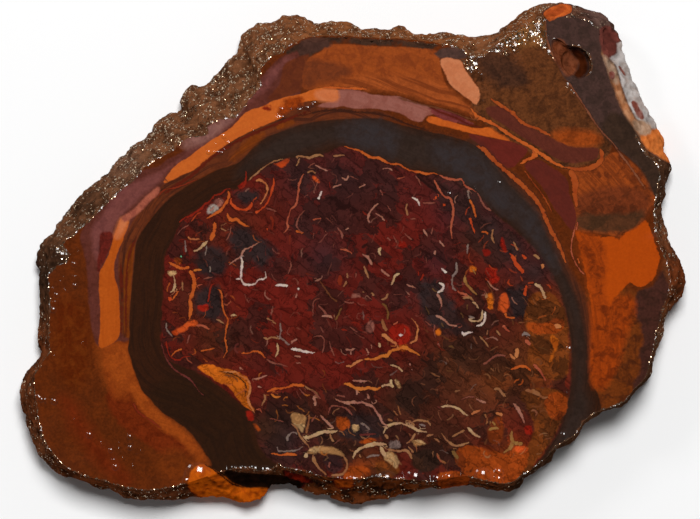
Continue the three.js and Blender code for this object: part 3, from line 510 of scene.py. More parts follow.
# The opal core's veins, in the same form as the lines on the bands.
CORE_VEINS = [
    ("red", 2, 2, (179, 223, 184, 218, 190, 216, 196, 212, 202, 208, 205, 204, 210, 201, 215, 195, 221,
     194, 226, 189, 231, 189)),
    ("orange", 2.3, 2.3, (228, 190, 229, 195, 227, 201, 224, 206, 221, 210, 216, 213, 211, 216, 206,
     219)),
    ("fire", 1.5, 4, (231, 197, 231, 203, 234, 206, 238, 209, 244, 210, 248, 209, 251, 206, 252, 202)),
    ("red", 2, 2, (246, 171, 246, 178, 245, 184, 243, 187, 239, 189)),
    ("tan", 1.3, 1.3, (248, 181, 252, 177, 257, 173, 263, 168, 269, 164, 275, 161, 284, 159)),
    ("peach", 3, 1.5, (255, 181, 260, 180, 265, 183, 267, 187, 267, 192, 265, 197, 262, 202, 260, 205)),
    ("fire", 2, 2.5, (273, 177, 274, 183, 272, 190, 270, 197, 267, 203, 263, 208, 257, 212, 255, 213)),
    ("tan", 2.3, 2, (297, 159, 298, 156, 306, 157, 309, 158, 314, 156, 320, 155, 324, 157)),
    ("tan", 1.5, 1, (300, 158, 296, 167)),
    ("coral", 1.8, 1.5, (304, 173, 301, 179, 299, 185, 298, 194, 297, 202, 295, 206, 291, 209, 289, 215,
     287, 222, 288, 228, 283, 234)),
    ("orange", 3.5, 2, (227, 213, 229, 218, 232, 220, 237, 219, 240, 222, 244, 225, 250, 227)),
    ("tan", 1.3, 1.3, (220, 226, 227, 223)),
    ("tan", 1.3, 1.3, (220, 228, 227, 231)),
    ("orange", 4.5, 4, (214, 222, 215, 227, 214, 231, 212, 237, 210, 241)),
    ("cream", 3, 2, (208, 241, 203, 245, 198, 250, 193, 251)),
    ("ash", 1.2, 1, (207, 245, 205, 256)),
    ("peach", 2.5, 2, (187, 237, 191, 239, 200, 239)),
    ("ash", 1.5, 1.2, (185, 240, 186, 253)),
    ("green", 2.2, 2.2, (180, 256, 182, 257)),
    ("rose", 1.3, 1.3, (305, 210, 300, 215, 297, 222, 297, 227, 300, 231, 303, 232)),
    ("fire", 3, 3, (266, 229, 268, 229)),
    ("ember", 3, 3, (270, 216, 273, 221, 272, 231)),
    ("pink", 1.6, 1.4, (229, 265, 235, 260, 241, 256, 244, 250, 251, 247, 260, 242)),
    ("rose", 1.5, 1.2, (265, 208, 270, 209, 277, 212)),
    ("rose", 1, 1, (231, 225, 230, 233, 226, 241)),
    ("rose", 1, 1, (189, 225, 182, 229, 177, 235)),
    ("orange", 2.3, 2, (343, 146, 353, 149, 362, 152, 370, 157, 379, 158, 386, 162, 392, 164, 399, 164,
     405, 168, 412, 171, 420, 172, 427, 174, 433, 173, 439, 175)),
    ("coral", 2, 1.5, (439, 175, 446, 178, 456, 180, 461, 179, 464, 183, 464, 185, 471, 189, 477, 192)),
    ("rose", 1.2, 2, (477, 192, 481, 200, 485, 207, 492, 211)),
    ("tan", 1.8, 1.5, (333, 156, 345, 155)),
    ("rose", 1.2, 1.2, (308, 168, 311, 165, 315, 163)),
    ("pink", 1.8, 1.5, (315, 165, 321, 168, 328, 171)),
    ("tan", 2, 2, (307, 173, 312, 171, 316, 174)),
    ("rose", 1, 1, (311, 179, 314, 183, 316, 191)),
    ("white", 2.2, 2, (322, 191, 318, 200)),
    ("pink", 1.5, 1.5, (332, 188, 336, 186, 342, 184)),
    ("pink", 1.5, 1.5, (341, 177, 346, 180, 349, 175)),
    ("rose", 1, 1, (350, 176, 359, 180)),
    ("pink", 1.5, 1.5, (359, 188, 366, 184)),
    ("pink", 2, 2, (369, 223, 368, 218, 370, 212, 374, 207, 379, 203)),
    ("pink", 2, 1.5, (375, 213, 380, 216, 385, 221)),
    ("rose", 1.5, 1.5, (380, 189, 383, 196)),
    ("rose", 1, 1, (387, 205, 391, 211)),
    ("pink", 1.3, 1.3, (382, 169, 388, 168, 393, 171)),
    ("coral", 1.3, 1.3, (396, 179, 405, 177)),
    ("white", 1.8, 1.5, (411, 197, 417, 200, 420, 206)),
    ("tan", 2, 2, (408, 203, 406, 208, 408, 216)),
    ("rose", 1.3, 1.3, (410, 219, 416, 219)),
    ("coral", 2, 2, (434, 179, 436, 184, 440, 191, 445, 197, 450, 198, 453, 207, 453, 216, 451, 228, 452,
     239)),
    ("rose", 1, 1, (415, 175, 419, 181, 421, 186)),
    ("fire", 3, 3, (435, 196, 437, 198)),
    ("fire", 4, 4, (443, 204, 445, 206)),
    ("rose", 1.5, 1.5, (422, 203, 436, 203)),
    ("rose", 1.5, 1.5, (337, 227, 342, 234, 342, 239)),
    ("pink", 1.5, 1.5, (345, 230, 349, 228)),
    ("rose", 1.3, 1.3, (326, 230, 325, 233)),
    ("coral", 1.8, 1.5, (312, 220, 322, 218)),
    ("rose", 1, 1, (314, 232, 313, 239)),
    ("rose", 1, 1, (334, 243, 333, 248)),
    ("coral", 1.8, 1.8, (339, 249, 346, 250, 353, 254)),
    ("cream", 3, 1, (381, 247, 379, 251, 381, 256)),
    ("pink", 2.5, 2, (362, 254, 368, 258, 372, 265)),
    ("red", 1.5, 1.5, (382, 237, 385, 241)),
    ("rose", 1, 1, (387, 237, 391, 241)),
    ("rose", 1, 1, (393, 235, 397, 243)),
    ("rose", 1.3, 1.3, (404, 233, 412, 240)),
    ("pink", 1.8, 1.5, (423, 229, 428, 237)),
    ("rose", 1, 1, (433, 227, 431, 235)),
    ("pink", 1.8, 1.5, (439, 240, 445, 248)),
    ("pink", 2, 2, (436, 250, 434, 255)),
    ("orange", 2.5, 2, (295, 231, 304, 233)),
    ("ash", 2, 2, (468, 190, 469, 199)),
    ("orange", 2, 2, (469, 199, 473, 206, 476, 218)),
    ("fire", 3, 1.5, (470, 217, 471, 222, 475, 234)),
    ("orange", 2, 2, (481, 232, 486, 232, 488, 235)),
    ("tan", 2, 2, (493, 229, 492, 238, 495, 244)),
    ("fire", 3.5, 4, (510, 253, 513, 258, 517, 265, 522, 271, 524, 273)),
    ("fire", 3, 3, (522, 254, 526, 259)),
    ("tan", 1.5, 1.5, (513, 241, 518, 251)),
    ("tan", 2, 2, (533, 254, 540, 259)),
    ("ash", 1.5, 1.5, (468, 243, 467, 254)),
    ("orange", 2.5, 2.5, (168, 262, 174, 265, 180, 268, 187, 268, 189, 266)),
    ("cream", 2, 2, (173, 274, 175, 282, 174, 289, 170, 293)),
    ("tan", 2, 1.5, (182, 282, 183, 291)),
    ("orange", 1.5, 1.5, (179, 291, 174, 297, 172, 301)),
    ("fire", 3, 3, (168, 297, 172, 301)),
    ("orange", 5, 2.5, (189, 271, 193, 274, 194, 281, 194, 288, 192, 294, 190, 301, 191, 308, 190, 315,
     189, 321)),
    ("gold", 2, 2, (193, 271, 197, 270, 202, 270)),
    ("coral", 2, 2, (196, 326, 202, 325, 210, 330)),
    ("red", 1.5, 1.5, (216, 283, 212, 285, 210, 290, 209, 296, 208, 303)),
    ("coral", 1.5, 1.5, (197, 286, 203, 284)),
    ("rose", 1.3, 1.3, (203, 279, 213, 277)),
    ("ash", 1.3, 1.3, (210, 266, 210, 273)),
    ("orange", 1.8, 1.5, (217, 289, 221, 292, 222, 299, 223, 309, 226, 316, 228, 321, 226, 330, 225, 339,
     227, 350, 223, 358)),
    ("tan", 1.3, 1.3, (216, 319, 220, 321, 225, 324)),
    ("cream", 1.8, 1.5, (230, 316, 233, 315, 237, 316)),
    ("white", 2.5, 1.5, (241, 256, 242, 261, 242, 267, 241, 278, 244, 284, 249, 285, 255, 284, 258, 280,
     266, 278, 265, 271)),
    ("white", 2, 1.5, (236, 279, 241, 279)),
    ("white", 2, 2, (275, 286, 280, 285, 289, 286)),
    ("white", 1.8, 1.5, (298, 287, 299, 290)),
    ("pink", 1.5, 1.5, (297, 293, 296, 298)),
    ("rose", 1.2, 1.2, (290, 260, 291, 266, 288, 274)),
    ("tan", 2, 1.5, (266, 318, 271, 320, 276, 324)),
    ("ash", 2, 2, (280, 322, 281, 331, 280, 337, 284, 340, 288, 344, 291, 344)),
    ("pink", 2.5, 2, (291, 344, 293, 341, 298, 339)),
    ("tan", 1.8, 1.5, (263, 337, 267, 339, 272, 337, 279, 339)),
    ("cream", 1.8, 1.5, (277, 343, 278, 351, 275, 358)),
    ("orange", 2, 1.8, (240, 353, 249, 353, 255, 351, 261, 353, 266, 359)),
    ("rose", 1.5, 1.3, (266, 359, 273, 363, 280, 364, 288, 367)),
    ("white", 2.3, 1.8, (291, 349, 299, 350, 307, 352, 315, 353)),
    ("pink", 1.3, 1.3, (294, 356, 302, 357)),
    ("pink", 1.3, 1.3, (295, 363, 302, 363)),
    ("red", 1.5, 1.5, (166, 341, 168, 351, 171, 357, 178, 360, 184, 357, 191, 356)),
    ("orange", 1.5, 1.5, (171, 357, 176, 351, 183, 349)),
    ("orange", 1.8, 1.5, (200, 351, 207, 350, 215, 348)),
    ("ash", 1.3, 1.3, (166, 322, 167, 330, 173, 337)),
    ("rose", 1, 1, (190, 334, 187, 344)),
    ("pink", 1.8, 1.8, (239, 367, 243, 370)),
    ("peach", 2, 2, (222, 372, 235, 372, 239, 375, 247, 379, 250, 384, 250, 391, 248, 398, 250, 405, 255,
     413)),
    ("brown", 1.5, 1.5, (224, 375, 234, 377, 238, 382)),
    ("pink", 1.5, 1.5, (252, 379, 257, 379, 262, 377, 268, 375)),
    ("pink", 1.3, 1.3, (257, 386, 262, 388)),
    ("tan", 1.8, 1.8, (264, 393, 265, 398, 263, 403, 261, 406)),
    ("orange", 2.5, 2.5, (266, 392, 275, 389, 285, 388, 293, 385, 299, 385, 305, 386)),
    ("tan", 2, 1.8, (305, 386, 309, 389, 314, 391, 320, 398)),
    ("gold", 2, 2, (271, 393, 275, 397, 281, 396)),
    ("rose", 1.8, 1.5, (299, 388, 305, 395)),
    ("coral", 1.5, 1.5, (256, 410, 260, 409, 262, 413)),
    ("tan", 2, 2, (291, 423, 297, 429, 300, 436, 305, 442, 310, 448)),
    ("ash", 2, 2, (288, 442, 287, 438, 290, 434, 294, 432, 298, 435)),
    ("ash", 1.5, 1.5, (277, 446, 279, 451, 290, 451, 297, 450, 304, 446)),
    ("orange", 2, 2, (271, 453, 280, 455, 288, 454, 298, 455)),
    ("rose", 1, 1, (269, 418, 284, 422)),
    ("pink", 2.5, 2, (366, 255, 370, 260, 372, 266)),
    ("tan", 1.8, 1.8, (364, 265, 366, 272, 369, 279)),
    ("pink", 2.5, 2.5, (381, 269, 384, 272, 390, 277)),
    ("cream", 2, 2, (400, 273, 395, 276, 393, 281, 391, 286)),
    ("red", 1.5, 1.5, (418, 271, 419, 276)),
    ("red", 1.5, 1.5, (424, 273, 420, 281)),
    ("white", 2, 1.8, (441, 268, 447, 273)),
    ("tan", 2, 2, (347, 272, 348, 279)),
    ("rose", 1.5, 1.5, (356, 272, 356, 279)),
    ("tan", 2, 2, (347, 281, 343, 287)),
    ("ember", 4, 4, (340, 275, 340, 286)),
    ("pink", 1.5, 1.5, (406, 284, 410, 286, 416, 288)),
    ("white", 2.5, 2.3, (438, 283, 443, 285, 443, 289, 437, 293)),
    ("pink", 2.3, 2, (437, 293, 439, 297, 441, 301, 442, 307)),
    ("rose", 1.5, 1.5, (313, 317, 313, 307, 314, 301, 320, 298)),
    ("rose", 1.8, 1.8, (318, 305, 323, 310, 328, 316)),
    ("pink", 1.8, 1.8, (321, 316, 328, 316, 333, 318)),
    ("brown", 1.2, 1.2, (320, 281, 326, 290, 332, 298, 338, 302)),
    ("olive", 2, 2, (342, 307, 339, 313, 335, 321)),
    ("rose", 1.5, 1.5, (343, 301, 350, 303, 355, 302)),
    ("tan", 2, 1.5, (362, 291, 364, 293)),
    ("tan", 1.5, 1.5, (370, 292, 375, 296)),
    ("tan", 2, 2, (388, 293, 386, 298, 381, 300)),
    ("olive", 2.5, 2.5, (381, 303, 386, 307, 388, 313, 387, 320)),
    ("sand", 3, 3, (382, 318, 384, 326, 387, 331)),
    ("gold", 3, 3, (364, 359, 375, 359, 381, 356, 387, 356, 391, 351, 398, 349, 404, 347, 410, 350, 414,
     352, 421, 356)),
    ("peach", 2, 2, (364, 359, 357, 362, 351, 366, 346, 366)),
    ("peach", 3, 2.5, (382, 337, 384, 335, 390, 340, 395, 343, 398, 347)),
    ("peach", 2.5, 1, (409, 344, 412, 342, 416, 340, 417, 334, 418, 328, 415, 322, 411, 318)),
    ("white", 2.8, 2.5, (399, 335, 403, 335)),
    ("coral", 1.3, 1.3, (393, 325, 396, 323, 399, 321)),
    ("cream", 2.5, 2, (379, 342, 380, 348)),
    ("pink", 1.5, 1.5, (371, 344, 372, 349)),
    ("pink", 1.8, 1.8, (366, 348, 369, 354)),
    ("pink", 1.8, 1.8, (345, 349, 351, 350, 355, 348)),
    ("pink", 1.5, 1.5, (351, 350, 351, 355)),
    ("rose", 1, 1, (349, 326, 354, 330, 358, 332)),
    ("rose", 1.2, 1.2, (313, 337, 321, 336, 324, 340, 324, 347, 322, 354)),
    ("rose", 1, 1, (329, 340, 331, 348, 335, 357)),
    ("cream", 2, 1.8, (390, 365, 395, 366, 399, 368, 403, 372)),
    ("pink", 3, 3, (409, 363, 411, 365)),
    ("pink", 2, 2, (412, 369, 413, 370)),
    ("rose", 1.5, 1.5, (425, 321, 431, 326)),
    ("pink", 2, 1.8, (435, 315, 443, 319, 450, 325, 458, 326)),
    ("rose", 1.5, 1.5, (435, 324, 434, 331, 436, 338)),
    ("rose", 1.8, 1.8, (438, 343, 440, 347)),
    ("ash", 2, 2, (456, 261, 457, 271, 453, 276, 452, 281, 453, 288, 457, 291)),
    ("coral", 2, 2, (457, 291, 461, 293, 468, 295)),
    ("yellow", 2.5, 2.5, (465, 275, 465, 281, 469, 287, 473, 291, 477, 295)),
    ("yellow", 2, 1.5, (473, 269, 476, 275)),
    ("pink", 1.5, 1.5, (487, 280, 492, 287, 499, 290)),
    ("peach", 3.5, 3, (543, 264, 542, 269)),
    ("fire", 3.5, 3.5, (527, 285, 525, 291, 525, 296)),
    ("cream", 3, 3.5, (534, 284, 540, 287, 543, 292, 544, 295, 546, 299)),
    ("tan", 2.5, 2, (487, 292, 486, 299)),
    ("brown", 1.5, 1.5, (486, 282, 492, 292, 494, 301)),
    ("orange", 2, 2, (505, 312, 507, 317, 515, 318)),
    ("cream", 2, 2, (468, 319, 472, 321, 479, 321, 482, 318, 482, 309)),
    ("white", 2, 2, (485, 311, 485, 319, 482, 324, 476, 326)),
    ("ash", 1.8, 1.8, (468, 316, 475, 318)),
    ("cream", 2.5, 2.5, (472, 302, 476, 304, 479, 309)),
    ("tan", 2, 2, (462, 299, 469, 297, 474, 301)),
    ("rose", 1.5, 1.5, (458, 328, 463, 326)),
    ("white", 2.5, 2, (462, 331, 464, 335, 467, 333, 473, 332)),
    ("tan", 1.5, 1.5, (488, 329, 487, 335)),
    ("tan", 1.2, 1.2, (479, 336, 484, 341, 489, 348)),
    ("coral", 3, 3, (503, 325, 506, 329, 510, 332)),
    ("tan", 1.3, 1.3, (496, 330, 501, 336)),
    ("ash", 2, 2, (522, 336, 525, 333, 531, 336)),
    ("peach", 3.5, 3, (554, 325, 557, 326, 562, 327)),
    ("coral", 3, 3, (525, 340, 531, 345)),
    ("peach", 3.5, 3, (517, 348, 517, 353, 516, 358)),
    ("peach", 2.5, 2, (510, 353, 512, 357, 516, 359)),
    ("rose", 2, 2, (482, 364, 486, 363, 492, 358, 498, 355, 506, 356)),
    ("orange", 2.5, 2.5, (510, 370, 517, 367, 522, 366, 528, 368, 531, 372)),
    ("coral", 2.5, 2.5, (533, 364, 540, 371, 546, 381)),
    ("gold", 3, 3, (343, 384, 349, 384, 353, 387, 360, 389, 369, 388, 377, 389, 381, 387)),
    ("cream", 2.5, 2.5, (381, 387, 385, 385, 391, 385, 393, 388)),
    ("cream", 2, 2, (391, 379, 391, 385)),
    ("pink", 2, 2, (352, 380, 357, 381, 368, 381)),
    ("pink", 1.5, 1.5, (357, 390, 357, 395)),
    ("pink", 2.5, 2.5, (367, 393, 369, 399)),
    ("rose", 2, 2, (336, 395, 346, 397)),
    ("pink", 2.5, 2.5, (335, 398, 337, 400, 343, 402, 350, 403, 354, 402, 357, 403, 361, 402, 366, 404,
     372, 406, 376, 411, 380, 417, 383, 423, 388, 426)),
    ("rose", 1.5, 1.5, (328, 415, 330, 408, 333, 406, 343, 407, 349, 411, 353, 416)),
    ("pink", 2.5, 2.5, (313, 396, 315, 401, 315, 406)),
    ("rose", 2, 2, (311, 390, 321, 399)),
    ("pink", 2, 2, (320, 415, 325, 420, 330, 425, 334, 428)),
    ("sand", 2.5, 2.5, (309, 414, 309, 421, 307, 428, 306, 434)),
    ("rose", 1.3, 1.3, (316, 415, 311, 422)),
    ("ash", 2, 2, (360, 423, 365, 425, 370, 430)),
    ("cream", 3, 3, (304, 436, 309, 438, 317, 434, 324, 432, 331, 432, 338, 431)),
    ("tan", 1.5, 1.5, (330, 433, 331, 438, 334, 442)),
    ("cream", 3, 3, (305, 458, 307, 453)),
    ("tan", 3, 3, (313, 454, 314, 460, 318, 467, 323, 472, 328, 476)),
    ("tan", 2.5, 2.5, (342, 454, 346, 460, 347, 465, 345, 472, 338, 475, 331, 475)),
    ("rose", 2, 2, (330, 461, 329, 468)),
    ("cream", 2, 4.5, (353, 459, 355, 453, 360, 449, 367, 446, 375, 444, 381, 444, 387, 445)),
    ("cream", 4, 4, (381, 446, 382, 451, 386, 456)),
    ("tan", 2, 2, (384, 448, 391, 450, 399, 451, 406, 450, 410, 454, 412, 460)),
    ("tan", 1.5, 1.5, (359, 454, 361, 458)),
    ("ash", 2, 2, (366, 458, 371, 456, 380, 455)),
    ("dusk", 2, 2, (359, 435, 377, 434)),
    ("cream", 2.5, 2.5, (383, 434, 386, 428, 391, 425, 399, 423, 406, 425, 409, 426, 415, 429, 420, 431,
     427, 432)),
    ("tan", 2.5, 2.5, (385, 434, 388, 439)),
    ("tan", 2, 2, (415, 433, 412, 439, 406, 444)),
    ("tan", 2, 2, (408, 446, 414, 453)),
    ("tan", 2, 2, (405, 420, 411, 422, 415, 426)),
    ("tan", 2, 2, (412, 422, 419, 420, 428, 422, 431, 426)),
    ("ash", 2, 2, (419, 424, 426, 426)),
    ("tan", 2.5, 2.5, (426, 436, 434, 434)),
    ("tan", 2.5, 2.5, (434, 438, 440, 442)),
    ("sand", 2, 2, (387, 419, 393, 421)),
    ("sand", 1.5, 1.5, (393, 410, 398, 416)),
    ("coral", 2, 2, (437, 453, 439, 459, 445, 464)),
    ("cream", 2, 2, (440, 407, 450, 406, 459, 409, 463, 413, 469, 416)),
    ("peach", 3, 3, (471, 415, 475, 412, 481, 410)),
    ("sand", 2, 2, (484, 414, 487, 418, 486, 425)),
    ("peach", 3, 3, (495, 413, 503, 415)),
    ("cream", 3, 3, (467, 427, 471, 431, 475, 435, 481, 437)),
    ("tan", 2, 2, (452, 437, 459, 433, 465, 430)),
    ("tan", 2, 2, (441, 433, 445, 438, 450, 443, 457, 446, 470, 442)),
    ("sand", 2, 2, (437, 453, 440, 460, 447, 464)),
    ("olive", 3, 3, (452, 450, 458, 459)),
    ("yellow", 2.5, 2.5, (488, 430, 495, 428, 499, 429)),
    ("yellow", 2, 2, (492, 421, 496, 426)),
    ("yellow", 3.5, 3.5, (512, 430, 511, 436, 512, 442, 510, 448, 503, 453)),
    ("yellow", 3, 3, (512, 442, 519, 444, 523, 443)),
    ("pink", 3, 2.5, (513, 403, 518, 409, 522, 417, 525, 424)),
    ("sand", 4, 2, (525, 390, 535, 392, 542, 397, 548, 397)),
    ("tan", 2.5, 2.5, (493, 389, 499, 389, 503, 394, 506, 397)),
    ("pink", 2, 2, (476, 398, 480, 401, 487, 403)),
    ("rose", 1, 1, (461, 400, 468, 397, 476, 397)),
    ("clay", 1.5, 1.5, (531, 412, 534, 410, 537, 413, 534, 417)),
]

# Tints of the skin round the nut, in the same form as the core's.
SKIN_TINTS = [
    ("skin_dark", 85, 200, 22, 0.7), ("skin_grey", 120, 160, 26, 0.6), ("skin_ginger", 330, 32, 60, 0.7),
    ("skin_ginger", 430, 36, 50, 0.8), ("skin_ginger", 520, 22, 30, 0.8),
    ("skin_plum", 600, 14, 30, 0.95), ("skin_dark", 45, 275, 44, 1.0), ("skin_rust", 30, 350, 34, 0.8),
    ("skin_rust", 35, 410, 34, 0.7), ("skin_rust", 90, 470, 60, 0.8), ("skin_rust", 190, 490, 50, 0.7),
    ("lip", 330, 486, 60, 0.9), ("lip", 400, 486, 50, 0.9), ("lip", 480, 486, 50, 0.9),
    ("skin_dark", 540, 470, 60, 0.8), ("skin_dark", 640, 400, 60, 0.8), ("skin_rust", 682, 276, 44, 0.85),
    ("skin_dark", 668, 180, 40, 0.8), ("skin_rust", 250, 495, 24, 0.8),
]

# Stones that show on the skin as on the sawn face, by the start of their names.
BARE_STONES = ("facet", "chip", "pit", "plum_pink", "lobe", "gap", "wall", "triangle_grey", "top_margin")

# Fine bent strokes that fill the core: colour, how many, middle and spread in pixels, and width.
WORM_FIELDS = [
    ("rose", 105, (330, 260), (130, 90), 1.1), ("pink", 35, (360, 260), (120, 90), 1.3),
    ("dusk", 91, (330, 290), (140, 110), 1.6), ("ember", 49, (240, 290), (70, 110), 1.6),
    ("clay", 62, (430, 420), (110, 60), 1.2), ("tan", 42, (400, 430), (110, 45), 1.3),
    ("sand", 42, (500, 360), (60, 90), 1.3), ("olive", 28, (450, 330), (60, 70), 1.3),
    ("brown", 56, (480, 400), (80, 80), 1.6), ("coral", 28, (220, 300), (60, 110), 1.3),
    ("ash", 35, (440, 380), (100, 90), 1.1), ("orange", 46, (200, 300), (40, 90), 1.2),
    ("fire", 30, (225, 215), (60, 40), 1.3), ("fire", 40, (512, 262), (36, 46), 1.6),
    ("orange", 24, (510, 300), (40, 40), 1.5), ("gold", 20, (290, 400), (60, 30), 1.3),
    ("red", 40, (350, 260), (120, 80), 1.4), ("peach", 24, (380, 440), (70, 30), 1.2),
    ("orange", 20, (520, 420), (40, 50), 1.5),
]


def place(x, y):
    """A pixel of the photograph as millimetres from the origin."""
    return ((x - PHOTO_MIDDLE[0]) * PIXEL, (PHOTO_MIDDLE[1] - y) * PIXEL)


def path(pixels):
    """A flat list of pixels, x then y, as an array of points in millimetres."""
    pairs = np.array(pixels, float).reshape(-1, 2)
    return (pairs - PHOTO_MIDDLE) * (PIXEL, -PIXEL)


def rounded(points, closed, steps=3):
    """A smooth curve through the points: each stretch is a cubic that also heeds the points beside it."""
    if closed:
        ring = np.vstack([points[-1:], points, points[:2]])
    elif len(points) > 2:
        ring = np.vstack([2 * points[0] - points[1], points, 2 * points[-1] - points[-2]])
    else:
        return points
    made = []
    for a, b, c, d in zip(ring, ring[1:], ring[2:], ring[3:]):
        for share in np.arange(steps) / steps:
            made.append(0.5 * (2 * b + (c - a) * share + (2 * a - 5 * b + 4 * c - d) * share**2
                               + (3 * b - a - 3 * c + d) * share**3))
    if not closed:
        made.append(points[-1])
    return np.array(made)


def near(spots, line, margin):
    """Which spots lie within a margin of the line's own box."""
    low, high = line.min(0) - margin, line.max(0) + margin
    return np.flatnonzero(np.all((spots > low) & (spots < high), axis=1))


def closest(spots, starts, ends):
    """For each spot: the nearest stretch, how far along it, and the distance with its side as its sign."""
    run = ends - starts
    offset = spots[:, None, :] - starts[None]
    share = np.clip((offset * run).sum(2) / (run * run).sum(1), 0, 1)
    gap = offset - share[..., None] * run
    far = np.hypot(gap[..., 0], gap[..., 1])
    best = far.argmin(1)
    rows = np.arange(len(spots))
    side = np.sign(run[best, 0] * offset[rows, best, 1] - run[best, 1] * offset[rows, best, 0])
    return best, share[rows, best], far[rows, best] * np.where(side == 0, 1, side)


def depth_within(spots, starts, ends, margin):
    """How far each spot is inside closed loops of straight stretches, in millimetres: negative outside."""
    depth = np.full(len(spots), -margin)
    for part in np.array_split(near(spots, starts, margin), 30):
        if len(part) == 0:
            continue
        here = spots[part]
        far = np.abs(closest(here, starts, ends)[2])
        level = (starts[None, :, 1] > here[:, None, 1]) != (ends[None, :, 1] > here[:, None, 1])
        rise = np.where(ends[:, 1] == starts[:, 1], 1e-9, ends[:, 1] - starts[:, 1])
        cross = starts[:, 0] + (here[:, 1:2] - starts[:, 1]) / rise * (ends[:, 0] - starts[:, 0])
        inside = (level & (here[:, :1] < cross)).sum(1) % 2 == 1
        depth[part] = np.where(inside, 1, -1) * far
    return np.clip(depth, -margin, margin * 4)


def depth_inside(spots, outline, margin=2.0):
    """How far each spot is inside an outline read from the photograph, in millimetres."""
    loop = rounded(path(outline), True)
    return depth_within(spots, loop, np.roll(loop, -1, 0), margin)


def smooth(value, low, high):
    share = np.clip((value - low) / (high - low), 0, 1)
    return share * share * (3 - 2 * share)


def linear(colour):
    """A screen colour, 0 to 255, as the light that Blender works in."""
    share = np.array(colour, float) / 255
    return np.where(share < 0.04045, share / 12.92, ((share + 0.055) / 1.055) ** 2.4)


def stone_row(name):
    """A stone's colour, fleck colour and character as one row of nine numbers."""
    colour, fleck, *character = STONES[name]
    return np.concatenate([linear(colour), linear(fleck), character])


def wash(rows, spots, tints):
    """Lays soft round tints over the rows of stone, at the spots."""
    for name, x, y, radius, share in tints:
        far = np.hypot(*(spots - place(x, y)).T) / (radius * PIXEL)
        veil = share * np.exp(-(far**2))[:, None]
        rows += (stone_row(name) - rows) * veil
    return rows


def stack_patches(depths, margins):
    """The sheet of each patch. Patches that show beside each other lie on different sheets, and one that
    overlaps an earlier one lies above it, so every sheet holds clear outlines; others share sheets."""
    seen, solid = (np.zeros(depths.shape, np.float32) for _ in range(2))
    hidden = np.zeros(depths.shape[1], bool)
    least = np.minimum(OVERLAP, 0.4 * depths.max(1))
    for number in range(len(depths) - 1, -1, -1):
        seen[number] = (depths[number] > -margins[number]) & ~hidden
        solid[number] = (depths[number] > least[number]) & ~hidden
        hidden |= depths[number] > margins[number]
    beside = seen @ seen.T > 0
    above = (solid @ solid.T > 0) | (solid @ (depths > margins[:, None]).T.astype(np.float32) > 0)
    sheets = np.zeros(len(depths), int)
    for number in range(1, len(depths)):
        floor = (sheets[:number] * above[number, :number]).max() + above[number, :number].any()
        taken = set(sheets[:number][beside[number, :number]])
        sheets[number] = next(sheet for sheet in range(floor, 99) if sheet not in taken)
    return sheets


def paint_stone(spots):
    """Bands and patches, sheet by sheet from the lowest: at each spot how deep it lies inside its patch,
    how far that patch's edge wanders and how soft it is, and the stone. The material draws the edges from
    the depths, as fine as the photograph shows them. Also gives the topmost stone of each spot."""
    layers = PATCHES + CORE_PATCHES
    depths = np.array([depth_inside(spots, outline) for _, _, _, outline in layers])
    margins = np.array([0.6 + layer[2] / 2 for layer in layers])
    level = stack_patches(depths, margins)
    assert level.max() < SHEETS
    tinted = wash(np.tile(stone_row("core_red"), (len(spots), 1)), spots, CORE_TINTS)
    top = np.tile(stone_row("low_brown"), (len(spots), 1))
    sheets = []
    for sheet in range(SHEETS):
        edge = np.tile([-2.0, 0.1, 0.1], (len(spots), 1))
        stone = np.tile(stone_row("low_brown"), (len(spots), 1))
        for number in np.flatnonzero(level == sheet):
            name, wander, softness, _ = layers[number]
            rows = tinted if name == "core_red" else np.tile(stone_row(name), (len(spots), 1))
            wins = (depths[number] > edge[:, 0]) | (depths[number] > 0)
            edge[wins, 0] = depths[number][wins]
            edge[wins, 1:] = wander, softness
            stone[wins] = rows[wins]
        inside = edge[:, 0] > 0
        top[inside] = stone[inside]
        sheets.append((edge, stone))
    return sheets, top


def paint_lines(spots, lines):
    """The nearest line at each spot: distance with its side, half width, strength, and its colour."""
    sheet = np.tile([1.0, -1.0, 0.0], (len(spots), 1))
    colours = np.tile(linear(VEIN_COLOURS["rose"]), (len(spots), 1))
    score = np.full(len(spots), 1.5)
    for colour, first, last, strength, points in lines:
        line = rounded(points, False)
        part = near(spots, line, LINE_REACH)
        if len(part) == 0:
            continue
        index, share, side = closest(spots[part], line[:-1], line[1:])
        along = (index + share) / (len(line) - 1)
        half = (first + (last - first) * along) * PIXEL / 2
        half = half * np.sqrt(np.clip(np.minimum(along, 1 - along) * LINE_TAPER + 0.04, 0, 1))
        half[(along <= 0) | (along >= 1)] = LINE_CLOSED
        wins = np.abs(side) - half < score[part]
        chosen = part[wins]
        score[chosen] = (np.abs(side) - half)[wins]
        spare = np.clip(np.abs(side) - half - LINE_HALO, 0, None)
        sheet[chosen] = np.stack([side, half - 1.6 * spare, np.full(len(part), strength)], 1)[wins]
        colours[chosen] = linear(VEIN_COLOURS[colour])
    return sheet, colours


def hand_lines(lines, strength):
    """A table of lines in the form that paint_lines takes, all of one strength."""
    return [(colour, first, last, strength, path(points)) for colour, first, last, points in lines]


